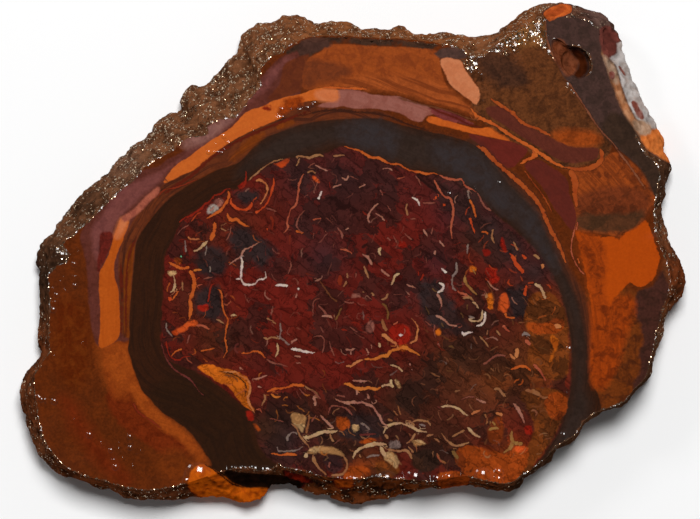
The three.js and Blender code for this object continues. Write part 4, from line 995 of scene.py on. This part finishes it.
def worm_lines(seed=7):
    """Short bent strokes strewn through the core, the same each time and clear of each other."""
    draw = random.Random(seed)
    made = []
    taken = np.full((1, 2), 99.0)
    for colour, count, middle, spread, width in WORM_FIELDS:
        for _ in range(count):
            x, y = (draw.gauss(middle[n], spread[n] * 0.62) for n in (0, 1))
            heading, turn = draw.uniform(0, math.tau), draw.gauss(0, 0.45)
            pixels = [x, y]
            for _ in range(draw.choice((2, 3, 3, 4))):
                x, y = x + WORM_STEP * math.cos(heading), y + WORM_STEP * math.sin(heading)
                heading += turn + draw.gauss(0, 0.25)
                pixels += [x, y]
            wide = width * draw.uniform(0.7, 1.3)
            strength = draw.uniform(0.15, 0.65)
            points = path(pixels)
            clear = np.hypot(*(points[:, None] - taken[None]).transpose(2, 0, 1)).min() > WORM_GAP
            if clear and depth_inside(points, CORE_EDGE).min() > 0.1:
                made.append((colour, wide, wide * 0.7, strength, points))
                taken = np.vstack([taken, points])
    return made


def deselect():
    bpy.ops.object.select_all(action="DESELECT")


def positions(mesh, field="co"):
    rows = np.empty(len(mesh.vertices) * 3, np.float32)
    mesh.vertices.foreach_get(field, rows)
    return rows.reshape(-1, 3).astype(float)


def vertex_normals(mesh):
    rows = np.empty(len(mesh.vertices) * 3, np.float32)
    mesh.vertex_normals.foreach_get("vector", rows)
    return rows.reshape(-1, 3).astype(float)


def set_positions(mesh, rows):
    mesh.vertices.foreach_set("co", rows.astype(np.float32).ravel())
    mesh.update()


def keep_attribute(mesh, name, kind, rows):
    """Stores a row for each vertex under a name that the materials read."""
    field = "color" if kind == "FLOAT_COLOR" else "value" if kind == "FLOAT" else "vector"
    if kind == "FLOAT_COLOR":
        rows = np.hstack([rows, np.ones((len(rows), 1))])
    mesh.attributes.new(name, kind, "POINT").data.foreach_set(field, rows.astype(np.float32).ravel())


def apply_modifier(piece, kind, **settings):
    modifier = piece.modifiers.new(kind.title(), kind)
    for name, value in settings.items():
        setattr(modifier, name, value)
    bpy.context.view_layer.objects.active = piece
    bpy.ops.object.modifier_apply(modifier=modifier.name)


def select_faces(piece, chosen):
    """Selects faces by a row of true and false, and leaves the piece in edit mode."""
    bpy.context.view_layer.objects.active = piece
    bpy.ops.object.mode_set(mode="EDIT")
    bpy.ops.mesh.select_mode(type="FACE")
    bpy.ops.mesh.select_all(action="DESELECT")
    bpy.ops.object.mode_set(mode="OBJECT")
    piece.data.polygons.foreach_set("select", chosen)
    bpy.ops.object.mode_set(mode="EDIT")


def surfaces(mesh):
    """The middle and the normal of every face."""
    middles, normals = (np.empty(len(mesh.polygons) * 3, np.float32) for _ in range(2))
    mesh.polygons.foreach_get("center", middles)
    mesh.polygons.foreach_get("normal", normals)
    return middles.reshape(-1, 3), normals.reshape(-1, 3)


def on_face(mesh):
    middles, normals = surfaces(mesh)
    return (middles[:, 2] > FACE_HEIGHT - 1.0 * MM) & (normals[:, 2] > 0.9)


def on_back(mesh):
    middles, normals = surfaces(mesh)
    return (middles[:, 2] < 0.05 * MM) & (normals[:, 2] < -0.97)


def in_core(mesh):
    return on_face(mesh) & (depth_inside(surfaces(mesh)[0][:, :2] / MM, CORE_EDGE) > -0.3)


def face_corners(mesh):
    """The vertex at every corner of every face, and the first corner of each face."""
    corners, starts = np.empty(len(mesh.loops), np.int32), np.empty(len(mesh.polygons), np.int32)
    mesh.loops.foreach_get("vertex_index", corners)
    mesh.polygons.foreach_get("loop_start", starts)
    return corners, starts


def rim_of(stone):
    """The edge of the sawn face and of the pockets in it, as straight stretches in millimetres."""
    select_faces(stone, on_face(stone.data))
    bpy.ops.mesh.region_to_loop()
    bpy.ops.object.mode_set(mode="OBJECT")
    edges = np.array([edge.vertices[:] for edge in stone.data.edges if edge.select])
    return positions(stone.data)[edges] / MM


def clouds(name, size, depth, kind="CLOUDS"):
    made = bpy.data.textures.new(name, kind)
    made.noise_scale = size * MM
    if kind == "CLOUDS":
        made.noise_depth = depth
    return made


def make_stone():
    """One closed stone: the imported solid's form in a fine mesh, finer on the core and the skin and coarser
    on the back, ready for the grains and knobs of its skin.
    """
    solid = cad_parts["opal_nut_slab"]
    stone = bpy.data.objects.new("rough_opal_nut", solid.data.copy())
    bpy.context.collection.objects.link(stone)
    stone.data.materials.clear()
    deselect()
    stone.select_set(True)
    bpy.context.view_layer.objects.active = stone
    bpy.ops.object.mode_set(mode="EDIT")
    bpy.ops.mesh.select_all(action="SELECT")
    bpy.ops.mesh.remove_doubles(threshold=0.001 * MM)
    bpy.ops.object.mode_set(mode="OBJECT")
    rim = rim_of(stone)
    apply_modifier(stone, "REMESH", mode="VOXEL", voxel_size=COARSE)
    apply_modifier(stone, "SHRINKWRAP", target=solid)
    spots, ways = positions(stone.data), vertex_normals(stone.data)
    floor = (spots[:, 2] < 0.12 * MM) & (ways[:, 2] < -0.9)
    spots[floor, 2] = 0
    set_positions(stone.data, spots)
    select_faces(stone, in_core(stone.data))
    bpy.ops.mesh.subdivide(number_cuts=1)
    bpy.ops.object.mode_set(mode="OBJECT")
    select_faces(stone, ~on_face(stone.data) & (surfaces(stone.data)[0][:, 2] > 1.5 * MM))
    bpy.ops.mesh.subdivide(number_cuts=1)
    bpy.ops.object.mode_set(mode="OBJECT")
    select_faces(stone, on_back(stone.data))
    bpy.ops.mesh.decimate(ratio=0.12)
    bpy.ops.object.mode_set(mode="OBJECT")
    name_surfaces(stone, sharpen_rim(stone, rim))
    return stone, rim


def sharpen_rim(stone, rim):
    """Draws the border of the sawn face onto the true rim, and tells which faces are the sawn face."""
    mesh = stone.data
    spots = positions(mesh) / MM
    depth = depth_within(spots[:, :2], rim[:, 0, :2], rim[:, 1, :2], SKIN_DEPTH)
    held = (depth > 0) & (spots[:, 2] > FACE_HEIGHT / MM - 1.2) & (vertex_normals(mesh)[:, 2] > 0.6)
    corners, starts = face_corners(mesh)
    sawn = np.logical_and.reduceat(held[corners], starts)
    totals = np.diff(np.append(starts, len(corners)))
    numbers = np.arange(len(spots))
    inner, outer = (np.isin(numbers, corners[np.repeat(kind, totals)]) for kind in (sawn, ~sawn))
    border = np.flatnonzero(inner & outer)
    for part in np.array_split(border, 8):
        index, share, _ = closest(spots[part, :2], rim[:, 0, :2], rim[:, 1, :2])
        spots[part] = rim[index, 0] + (rim[index, 1] - rim[index, 0]) * share[:, None]
    set_positions(mesh, spots * MM)
    return sawn


def name_surfaces(stone, sawn):
    """Gives every face its slot, sawn face, skin or sawn back, and marks the cuts' borders sharp."""
    for material in (sawn_face(), nut_skin(), sawn_back()):
        stone.data.materials.append(material)
    back = on_back(stone.data) & ~sawn
    for slot, chosen in ((1, ~sawn & ~back), (0, sawn), (2, back)):
        select_faces(stone, chosen)
        stone.active_material_index = slot
        bpy.ops.object.material_slot_assign()
        bpy.ops.mesh.region_to_loop()
        bpy.ops.mesh.mark_sharp()
        bpy.ops.object.mode_set(mode="OBJECT")


def corners_of(mesh, slot):
    """Which vertices belong to a face with that material slot."""
    slots = np.empty(len(mesh.polygons), np.int32)
    mesh.polygons.foreach_get("material_index", slots)
    corners, starts = face_corners(mesh)
    totals = np.diff(np.append(starts, len(corners)))
    return np.isin(np.arange(len(mesh.vertices)), corners[np.repeat(slots == slot, totals)])


def roughen_skin(stone):
    """Raises knobs and grains on the skin, and keeps how far each point stands out or lies in."""
    before, ways = positions(stone.data), vertex_normals(stone.data)
    sawn = corners_of(stone.data, 0) | corners_of(stone.data, 2)
    rise = np.where(sawn, 0, smooth(before[:, 2], 0.02 * MM, 0.5 * MM))
    group = stone.vertex_groups.new(name="skin")
    for number in np.flatnonzero(rise > 0.01):
        group.add([int(number)], float(rise[number]), "REPLACE")
    knobs, pits = clouds("knobs", 1.5, 2), clouds("pits", 0.85, 1, "VORONOI")
    grains = clouds("grains", 0.4, 1)
    for texture, strength in ((knobs, 0.42), (pits, 0.3), (grains, 0.16)):
        apply_modifier(stone, "DISPLACE", texture=texture, texture_coords="LOCAL", vertex_group="skin",
                       strength=strength * MM, mid_level=0.5)
    after = positions(stone.data)
    after[:, 2] = np.clip(after[:, 2], 0, FACE_HEIGHT)
    set_positions(stone.data, after)
    return ((after - before) * ways).sum(1) / MM


def dress_stone(stone, rim, relief):
    """Stores on the stone what its materials draw: bands and patches, veins, strokes, beads of water, the
    way in from the rim and the skin's relief."""
    mesh = stone.data
    spots = positions(mesh)
    flat = spots[:, :2] / MM
    sheets, top = paint_stone(flat)
    sawn = corners_of(mesh, 0) | corners_of(mesh, 2)
    skin = wash(np.tile(stone_row("skin"), (len(spots), 1)), flat, SKIN_TINTS)
    inward = np.abs(depth_within(flat, rim[:, 0, :2], rim[:, 1, :2], SKIN_DEPTH))
    inward = np.where(sawn, np.minimum(inward, SKIN_DEPTH), -np.minimum(inward + 0.05, SKIN_DEPTH))
    inward[corners_of(mesh, 2)] = SKIN_DEPTH
    for name, _, _, outline in PATCHES:
        if name.startswith(BARE_STONES):
            bare = smooth(depth_inside(flat, outline), -0.25, 0.05) * smooth(spots[:, 2] / MM, 0.4, 1.2)
            inward += (2.0 - inward) * bare * (inward < 2.0)
    for number, (edge, stone_rows) in enumerate(sheets):
        keep_attribute(mesh, f"sheet_{number}", "FLOAT_VECTOR", edge)
        keep_attribute(mesh, f"sheet_{number}_stone", "FLOAT_COLOR", stone_rows[:, :3])
        keep_attribute(mesh, f"sheet_{number}_fleck", "FLOAT_COLOR", stone_rows[:, 3:6])
    keep_attribute(mesh, "skin_stone", "FLOAT_COLOR", skin[:, :3])
    keep_attribute(mesh, "skin_fleck", "FLOAT_COLOR", skin[:, 3:6])
    covered = smooth(inward, 0.1, -0.1)[:, None]
    keep_attribute(mesh, "character", "FLOAT_VECTOR", (top + (skin - top) * covered)[:, 6:])
    ring = -depth_inside(flat, CORE_EDGE, 40.0)
    keep_attribute(mesh, "ring", "FLOAT_VECTOR", np.stack([ring, inward, relief], 1))
    veins = hand_lines(BAND_LINES, BAND_STRENGTH) + hand_lines(CORE_VEINS, VEIN_STRENGTH)
    worms = hand_lines(DARK_LINES, BAND_STRENGTH) + worm_lines()
    for name, lines in (("worm", worms), ("branch", veins[1::2]), ("vein", veins[::2])):
        sheet, colours = paint_lines(flat, lines)
        keep_attribute(mesh, name, "FLOAT_VECTOR", sheet)
        keep_attribute(mesh, name + "_colour", "FLOAT_COLOR", colours)
    keep_attribute(mesh, "bead", "FLOAT_VECTOR", lay_beads(flat))


def lay_beads(spots):
    """Small beads of water: at each spot, the way from its nearest bead's middle and the bead's radius. The
    photograph gives the glints, so each bead lies a little behind its glint."""
    rows = np.tile([9.0, 9.0, 1.0], (len(spots), 1))
    for x, y, size in BEADS:
        radius = size * PIXEL
        offset = spots - place(x, y) + np.array([0.0, BEAD_GLINT * radius])
        closer = np.hypot(*offset.T) / radius < np.hypot(rows[:, 0], rows[:, 1]) / rows[:, 2]
        rows[closer] = np.column_stack([offset, np.full(len(spots), radius)])[closer]
    return rows


def add(tree, kind, inputs=(), **settings):
    """A shader node with its settings. Inputs go by name or number, to a value or another node's socket."""
    made = tree.nodes.new("ShaderNode" + kind)
    for name, value in settings.items():
        setattr(made, name, value)
    for key, value in dict(inputs).items():
        if isinstance(value, bpy.types.NodeSocket):
            tree.links.new(value, made.inputs[key])
        else:
            made.inputs[key].default_value = value
    return made


def calc(tree, operation, *values, clamp=False):
    return add(tree, "Math", enumerate(values), operation=operation, use_clamp=clamp).outputs[0]


def mix(tree, share, first, second, blend="MIX"):
    inputs = {0: share, 6: first, 7: second}
    return add(tree, "Mix", inputs, data_type="RGBA", blend_type=blend).outputs[2]


def stretch(tree, value, low, high, new_low=0.0, new_high=1.0, kind="SMOOTHSTEP"):
    inputs = {0: value, 1: low, 2: high, 3: new_low, 4: new_high}
    return add(tree, "MapRange", inputs, interpolation_type=kind).outputs[0]


def attribute(tree, name):
    return add(tree, "Attribute", attribute_name=name)


def parts_of(tree, vector):
    return add(tree, "SeparateXYZ", {0: vector}).outputs


def noise(tree, spot, size, detail=2.0, roughness=0.5, distortion=0.0):
    """A noise whose features are about that many millimetres wide."""
    inputs = {"Vector": spot, "Scale": 1 / (size * MM), "Detail": detail, "Roughness": roughness,
              "Distortion": distortion}
    return add(tree, "TexNoise", inputs).outputs["Fac"]


def new_group(name, inputs, outputs):
    """An empty node group with its sockets: each input is a name and a number it starts with."""
    group = bpy.data.node_groups.new(name, "ShaderNodeTree")
    for label, value in inputs:
        kind = "Float" if isinstance(value, float) else {3: "Vector", 4: "Color"}[len(value)]
        socket = group.interface.new_socket(name=label, in_out="INPUT", socket_type="NodeSocket" + kind)
        socket.default_value = value
    for label, kind in outputs:
        group.interface.new_socket(name=label, in_out="OUTPUT", socket_type="NodeSocket" + kind)
    start = group.nodes.new("NodeGroupInput")
    end = group.nodes.new("NodeGroupOutput")
    return group, start.outputs, end


def use(tree, group, **inputs):
    """Places a node group in a material; inputs by label, with underscores for spaces."""
    made = tree.nodes.new("ShaderNodeGroup")
    made.node_tree = group
    for label, value in inputs.items():
        socket = made.inputs[label.replace("_", " ")]
        if isinstance(value, bpy.types.NodeSocket):
            tree.links.new(value, socket)
        else:
            socket.default_value = value
    return made.outputs


def layer_group():
    """Lays one sheet of patches over the stone below, with its wandering, softer or harder edge."""
    colours = [(name, (0.0, 0.0, 0.0, 1.0)) for name in ("Stone Below", "Fleck Below", "Stone", "Fleck")]
    group, given, end = new_group(
        "patch sheet", colours + [("Edge", (-2.0, 0.1, 0.1)), ("Wobble", 0.0)],
        [("Stone", "Color"), ("Fleck", "Color")],
    )
    depth, wander, softness = parts_of(group, given["Edge"])
    moved = calc(group, "MULTIPLY_ADD", given["Wobble"], wander, depth)
    shown = calc(group, "ADD", calc(group, "DIVIDE", moved, softness), 0.5, clamp=True)
    for label in ("Stone", "Fleck"):
        group.links.new(mix(group, shown, given[label + " Below"], given[label]), end.inputs[label])
    return group


def grain_group():
    """Leans the surface another way on every grain, so that single grains catch the lamps. The small
    cells tell which grains are bright."""
    group, given, end = new_group(
        "wet grains", [("Normal", (0.0, 0.0, 1.0)), ("Lean", 1.0), ("Share", 0.4)],
        [("Normal", "Vector"), ("Bright", "Float")],
    )
    spot = add(group, "TexCoord").outputs["Object"]
    total = given["Normal"]
    for size, least, most in GRAIN_SIZES:
        cells = add(group, "TexVoronoi", {"Vector": spot, "Scale": 1 / (size * MM)}).outputs["Color"]
        bright = calc(group, "LESS_THAN", parts_of(group, cells)[2], given["Share"])
        centred = add(group, "VectorMath", {0: cells, 1: (0.5, 0.5, 0.5)}, operation="SUBTRACT").outputs[0]
        amount = stretch(group, bright, 0.0, 1.0, least, most, "LINEAR")
        lean = calc(group, "MULTIPLY", given["Lean"], amount)
        scaled = add(group, "VectorMath", {0: centred, "Scale": lean}, operation="SCALE").outputs[0]
        total = add(group, "VectorMath", {0: total, 1: scaled}, operation="ADD").outputs[0]
    steady = add(group, "VectorMath", {0: total}, operation="NORMALIZE").outputs[0]
    group.links.new(steady, end.inputs["Normal"])
    group.links.new(bright, end.inputs["Bright"])
    return group


def bead_group():
    """Domes the surface over each bead of water."""
    group, given, end = new_group("water beads", [("Normal", (0.0, 0.0, 1.0))], [("Normal", "Vector")])
    x, y, radius = parts_of(group, attribute(group, "bead").outputs["Vector"])
    square = calc(group, "ADD", calc(group, "MULTIPLY", x, x), calc(group, "MULTIPLY", y, y))
    far = calc(group, "SQRT", square)
    slope = calc(group, "DIVIDE", BEAD_SLOPE, radius)
    slope = calc(group, "MULTIPLY", slope, calc(group, "LESS_THAN", far, radius))
    lean_x, lean_y = calc(group, "MULTIPLY", x, slope), calc(group, "MULTIPLY", y, slope)
    lean = add(group, "CombineXYZ", {0: lean_x, 1: lean_y}).outputs[0]
    total = add(group, "VectorMath", {0: given["Normal"], 1: lean}, operation="ADD").outputs[0]
    steady = add(group, "VectorMath", {0: total}, operation="NORMALIZE").outputs[0]
    group.links.new(steady, end.inputs["Normal"])
    return group


def band_group():
    """Draws the ironstone's bands and patches, with their streaks, mottling and grain."""
    group, given, end = new_group(
        "ironstone bands", [("Contrast", 1.0), ("Grain", 1.0)],
        [("Stone", "Color"), ("Fleck", "Color"), ("Blotch", "Float"), ("Shade", "Float"), ("Grain", "Float"),
         ("Mottle", "Float"), ("Bare", "Float")],
    )
    spot = add(group, "TexCoord").outputs["Object"]
    streaked, mottled, grainy = parts_of(group, attribute(group, "character").outputs["Vector"])
    ring, inward, _ = parts_of(group, attribute(group, "ring").outputs["Vector"])
    wobble = calc(group, "MULTIPLY", calc(group, "SUBTRACT", noise(group, spot, 0.9, 3.0, 0.6), 0.5), 2.6)
    ground = stone_row("low_brown")
    stone, fleck = (*ground[:3], 1.0), (*ground[3:6], 1.0)
    for number in range(SHEETS):
        label = f"sheet_{number}"
        laid = use(
            group, GROUPS["layer"], Stone_Below=stone, Fleck_Below=fleck, Wobble=wobble,
            Stone=attribute(group, label + "_stone").outputs["Color"],
            Fleck=attribute(group, label + "_fleck").outputs["Color"],
            Edge=attribute(group, label).outputs["Vector"],
        )
        stone, fleck = laid["Stone"], laid["Fleck"]
    cover = stretch(group, calc(group, "MULTIPLY_ADD", wobble, 0.3, inward), 0.2, 0.02)
    stone = mix(group, cover, stone, attribute(group, "skin_stone").outputs["Color"])
    fleck = mix(group, cover, fleck, attribute(group, "skin_fleck").outputs["Color"])
    across = calc(group, "MULTIPLY", ring, 2.6)
    drift = add(group, "VectorMath", {0: spot, 1: (160.0, 160.0, 160.0)}, operation="MULTIPLY").outputs[0]
    shifted = add(group, "VectorMath", {0: drift, 1: add(group, "CombineXYZ", {0: across}).outputs[0]},
                  operation="ADD").outputs[0]
    settings = {"Vector": shifted, "Scale": 1.0, "Detail": 4.0, "Roughness": 0.65}
    streak = add(group, "TexNoise", settings).outputs["Fac"]
    lines = calc(group, "MULTIPLY", stretch(group, streak, 0.44, 0.6), streaked)
    mottle = noise(group, spot, 1.4, 5.0, 0.62, 0.6)
    clots = calc(group, "MULTIPLY", stretch(group, mottle, 0.42, 0.62), mottled)
    blotch = calc(group, "MULTIPLY", calc(group, "MAXIMUM", lines, clots), given["Contrast"])
    fine = noise(group, spot, 0.3, 3.0, 0.7)
    speck = calc(group, "MULTIPLY", calc(group, "MULTIPLY", grainy, given["Grain"]), 2.2)
    shade = calc(group, "MULTIPLY_ADD", calc(group, "SUBTRACT", fine, 0.5), speck, 1.0)
    bare = calc(group, "SUBTRACT", 1.0, cover)
    for label, value in (("Stone", stone), ("Fleck", fleck), ("Blotch", blotch), ("Shade", shade),
                         ("Grain", fine), ("Mottle", mottle), ("Bare", bare)):
        group.links.new(value, end.inputs[label])
    return group


def core_group():
    """Breaks the opal core into angular grains with dark cracks: which show the fleck colour, and how light
    each one is."""
    group, given, end = new_group(
        "opal core", [("Blotch", 0.0), ("Shade", 1.0), ("Mottle", 0.5), ("Depth", 1.0)],
        [("Blotch", "Float"), ("Shade", "Float")],
    )
    spot = add(group, "TexCoord").outputs["Object"]
    ring = parts_of(group, attribute(group, "ring").outputs["Vector"])[0]
    inside = calc(group, "MULTIPLY", stretch(group, ring, 0.25, -0.25), given["Depth"])
    push_x, push_y = (calc(group, "MULTIPLY", given["Mottle"], far * MM) for far in (5.0, -4.0))
    push = add(group, "CombineXYZ", {0: push_x, 1: push_y}).outputs[0]
    bent = add(group, "VectorMath", {0: spot, 1: push}, operation="ADD").outputs[0]
    large = add(group, "TexVoronoi", {"Vector": bent, "Scale": 1 / (2.6 * MM)}).outputs["Color"]
    small = add(group, "TexVoronoi", {"Vector": bent, "Scale": 1 / (0.95 * MM)}).outputs["Color"]
    dark = stretch(group, parts_of(group, large)[0], 0.5, 0.62, 0.08, 0.92)
    tone = stretch(group, parts_of(group, small)[0], 0.0, 1.0, 0.74, 1.24, "LINEAR")
    settings = {"Vector": bent, "Scale": 1 / (1.5 * MM)}
    cracks = add(group, "TexVoronoi", settings, feature="DISTANCE_TO_EDGE").outputs[0]
    tone = calc(group, "MULTIPLY", tone, stretch(group, cracks, 0.0, 0.09, 0.5, 1.0))
    blotch = add(group, "Mix", {0: inside, 2: given["Blotch"], 3: dark}).outputs[0]
    toned = calc(group, "MULTIPLY", tone, given["Shade"])
    shade = add(group, "Mix", {0: inside, 2: given["Shade"], 3: toned}).outputs[0]
    group.links.new(blotch, end.inputs["Blotch"])
    group.links.new(shade, end.inputs["Shade"])
    return group


def vein_group():
    """Draws one sheet of veins over a colour: soft edged lines with a darker rim."""
    group, given, end = new_group(
        "opal veins",
        [("Below", (0.0, 0.0, 0.0, 1.0)), ("Colour", (1.0, 1.0, 1.0, 1.0)), ("Side", 1.0), ("Half", 0.0),
         ("Strength", 1.0), ("Wander", 0.5), ("Swell", 0.5), ("Rim", 0.35)],
        [("Colour", "Color")],
    )
    swing = calc(group, "MULTIPLY", calc(group, "SUBTRACT", given["Wander"], 0.5), 0.34)
    off = calc(group, "ABSOLUTE", calc(group, "ADD", given["Side"], swing))
    waist = stretch(group, given["Swell"], 0.35, 0.65, 0.55, 1.25)
    inner = calc(group, "SUBTRACT", calc(group, "MULTIPLY", given["Half"], waist), off)
    mask = calc(group, "MULTIPLY", stretch(group, inner, -0.055, 0.045), given["Strength"])
    fade = stretch(group, inner, -0.24, -0.02)
    rim = calc(group, "MULTIPLY", calc(group, "MULTIPLY", fade, given["Rim"]), given["Strength"])
    dark = mix(group, rim, given["Below"], VEIN_RIM)
    light = stretch(group, given["Swell"], 0.3, 0.7, 0.62, 1.12)
    pale = stretch(group, given["Wander"], 0.3, 0.7, 0.85, 1.15)
    red, blue = calc(group, "POWER", light, 0.5), calc(group, "MULTIPLY", light, pale)
    tint = add(group, "CombineXYZ", {0: red, 1: light, 2: blue}).outputs[0]
    tinted = mix(group, 1.0, given["Colour"], tint, "MULTIPLY")
    group.links.new(mix(group, mask, dark, tinted), end.inputs["Colour"])
    return group


GROUPS = {}  # the node groups that the materials share, by a short name


def darken(tree, colour, shade):
    """A colour times a number."""
    grey = add(tree, "CombineXYZ", {0: shade, 1: shade, 2: shade}).outputs[0]
    return mix(tree, 1.0, colour, grey, "MULTIPLY")


def stone_colour(tree, contrast, grain, core_depth):
    """The stone's whole colour: bands, then the core's grains, then fine strokes, then veins."""
    bands = use(tree, GROUPS["bands"], Contrast=contrast, Grain=grain)
    core = use(tree, GROUPS["core"], Blotch=bands["Blotch"], Shade=bands["Shade"], Mottle=bands["Mottle"],
               Depth=core_depth)
    colour = mix(tree, core["Blotch"], bands["Stone"], bands["Fleck"])
    colour = darken(tree, colour, core["Shade"])
    for name, rim in (("worm", 0.25), ("branch", 0.36), ("vein", 0.36)):
        side, half, strength = parts_of(tree, attribute(tree, name).outputs["Vector"])
        tint = attribute(tree, name + "_colour").outputs["Color"]
        shown = calc(tree, "MULTIPLY", strength, bands["Bare"])
        colour = use(tree, GROUPS["veins"], Below=colour, Colour=tint, Side=side, Half=half, Strength=shown,
                     Wander=bands["Grain"], Swell=bands["Mottle"], Rim=rim)["Colour"]
    return colour, bands


def finish_wet(tree, shader, colour, grains, spark):
    """Lets the sparks mirror like metal over the colour, and domes the beads of water over the grains."""
    tree.links.new(spark, shader.inputs["Metallic"])
    tree.links.new(mix(tree, spark, colour, WET_GRAIN), shader.inputs["Base Color"])
    normal = use(tree, GROUPS["beads"], Normal=grains["Normal"])["Normal"]
    tree.links.new(normal, shader.inputs["Normal"])


def new_material(name, roughness):
    """A material with the shader's own roughness, its node tree and the shader."""
    material = bpy.data.materials.new(name)
    material.use_nodes = True
    tree = material.node_tree
    shader = tree.nodes["Principled BSDF"]
    shader.inputs["Roughness"].default_value = roughness
    return material, tree, shader


def sawn_face():
    """The wet cut: smooth but for its granular patches near the rim, the rim itself and the beads of water.
    Its normals are drawn towards straight up, as a flat cut has them."""
    material, tree, shader = new_material("sawn_face", 0.1)
    colour, bands = stone_colour(tree, 1.0, 1.0, 1.0)
    grainy = parts_of(tree, attribute(tree, "character").outputs["Vector"])[2]
    inward = parts_of(tree, attribute(tree, "ring").outputs["Vector"])[1]
    granular, outer = stretch(tree, grainy, 0.82, 0.98), stretch(tree, inward, 2.4, 0.8, 0.1, 1.0)
    lean = calc(tree, "MULTIPLY", granular, outer)
    lean = calc(tree, "MAXIMUM", lean, calc(tree, "SUBTRACT", 1.0, bands["Bare"]))
    own = add(tree, "NewGeometry").outputs["Normal"]
    level = add(tree, "VectorMath", {0: own, 1: (0.35, 0.35, 0.35), 2: (0.0, 0.0, 0.65)},
                operation="MULTIPLY_ADD").outputs[0]
    grains = use(tree, GROUPS["grains"], Normal=level, Lean=lean, Share=0.3)
    spark = calc(tree, "MULTIPLY", grains["Bright"], stretch(tree, lean, 0.3, 0.6))
    finish_wet(tree, shader, colour, grains, spark)
    return material


def nut_skin():
    """The rough, wet, granular skin of the nut: painted shade darkens its hollows and painted light
    brightens its knobs, with bright grains in clusters and none on its steep walls."""
    material, tree, shader = new_material("nut_skin", 0.1)
    shader.inputs["Specular IOR Level"].default_value = 0.0
    colour, bands = stone_colour(tree, 1.0, 0.6, 0.0)
    relief = parts_of(tree, attribute(tree, "ring").outputs["Vector"])[2]
    # painted shade in the skin's hollows and painted light on its knobs, set by how far each point lies in
    # or stands out
    colour = darken(tree, colour, stretch(tree, relief, -0.3, 0.12, 0.4, 1.15))
    grainy = parts_of(tree, attribute(tree, "character").outputs["Vector"])[2]
    lean = stretch(tree, grainy, 0.3, 0.8, 0.0, 1.0)
    normal = add(tree, "NewGeometry").outputs["Normal"]
    cluster = stretch(tree, bands["Mottle"], 0.36, 0.6)
    share = calc(tree, "MULTIPLY", stretch(tree, grainy, 0.74, 0.9, 0.05, 0.26), cluster)
    grains = use(tree, GROUPS["grains"], Normal=normal, Lean=lean, Share=share)
    flat = stretch(tree, parts_of(tree, normal)[2], 0.2, 0.6)
    sparkling = calc(tree, "MULTIPLY", flat, stretch(tree, lean, 0.2, 0.6))
    finish_wet(tree, shader, colour, grains, calc(tree, "MULTIPLY", grains["Bright"], sparkling))
    return material


def sawn_back():
    """The dry back: the same bands, paler and matt, with the saw's fine arcs."""
    material, tree, shader = new_material("sawn_back", 0.6)
    colour = stone_colour(tree, 1.0, 1.2, 0.7)[0]
    tree.links.new(mix(tree, 0.22, colour, DUST), shader.inputs["Base Color"])
    spot = add(tree, "TexCoord").outputs["Object"]
    settings = {"Vector": spot, "Scale": 1 / (4.0 * MM), "Distortion": 0.6, "Detail": 2.0}
    arcs = add(tree, "TexWave", settings, wave_type="RINGS").outputs["Fac"]
    bump = add(tree, "Bump", {"Strength": 0.4, "Distance": 0.03 * MM, "Height": arcs})
    tree.links.new(bump.outputs[0], shader.inputs["Normal"])
    return material


def studio():
    """Camera straight above, white floor, one soft lamp high behind the slab and a weak one at its left."""
    wide = PHOTO_WIDE * PIXEL * MM
    x, y = (value * MM for value in place(*PHOTO_CENTRE))
    bpy.ops.object.camera_add(location=(x, y, FACE_HEIGHT + wide * LENS / SENSOR), rotation=(0, 0, 0))
    camera = bpy.context.object
    camera.data.lens = LENS
    camera.data.sensor_width = SENSOR
    bpy.context.scene.camera = camera
    bpy.ops.mesh.primitive_plane_add(size=3.0, location=(0, 0, 0))
    floor = bpy.context.object
    floor.name = "floor"
    paper = bpy.data.materials.new("white_paper")
    paper.use_nodes = True
    shader = paper.node_tree.nodes["Principled BSDF"]
    shader.inputs["Base Color"].default_value = (0.93, 0.93, 0.93, 1.0)
    shader.inputs["Roughness"].default_value = 0.9
    shader.inputs["Specular IOR Level"].default_value = 0.0
    floor.data.materials.append(paper)
    lamp("back_lamp", -8, 65, 1.0, 0.36, 10.0)
    lamp("left_lamp", 48, 36, 1.0, 0.2, 1.2)
    light_sky()


def lamp(name, azimuth, height, far, size, power):
    """A square lamp aimed at the slab, with its bearing from behind the slab and its height in degrees."""
    around, up = math.radians(azimuth), math.radians(height)
    aside = far * math.cos(up)
    where = (-aside * math.sin(around), aside * math.cos(around), far * math.sin(up))
    bpy.ops.object.light_add(type="AREA", location=where)
    made = bpy.context.object
    made.name = name
    made.data.size = size
    made.data.energy = power
    made.rotation_euler = (math.pi / 2 - up, 0, math.pi + around)


def light_sky():
    """A grey room: dark straight above, where the wet face mirrors it, and light near the horizon."""
    world = bpy.data.worlds.new("grey_room")
    bpy.context.scene.world = world
    world.use_nodes = True
    tree = world.node_tree
    way = parts_of(tree, add(tree, "TexCoord").outputs["Generated"])[2]
    light = stretch(tree, way, 0.2, 0.9, HORIZON_LIGHT, OVERHEAD_LIGHT)
    tree.links.new(light, tree.nodes["Background"].inputs["Strength"])
    tree.nodes["Background"].inputs["Color"].default_value = (1.0, 1.0, 1.0, 1.0)
    bpy.context.scene.view_settings.view_transform = "Standard"


studio()
GROUPS.update(layer=layer_group(), grains=grain_group(), beads=bead_group())
GROUPS.update(bands=band_group(), core=core_group(), veins=vein_group())
stone, rim = make_stone()
relief = roughen_skin(stone)
dress_stone(stone, rim, relief)
deselect()
stone.select_set(True)
bpy.ops.object.shade_smooth()
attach(stone, "root")
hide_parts("opal_nut_slab")
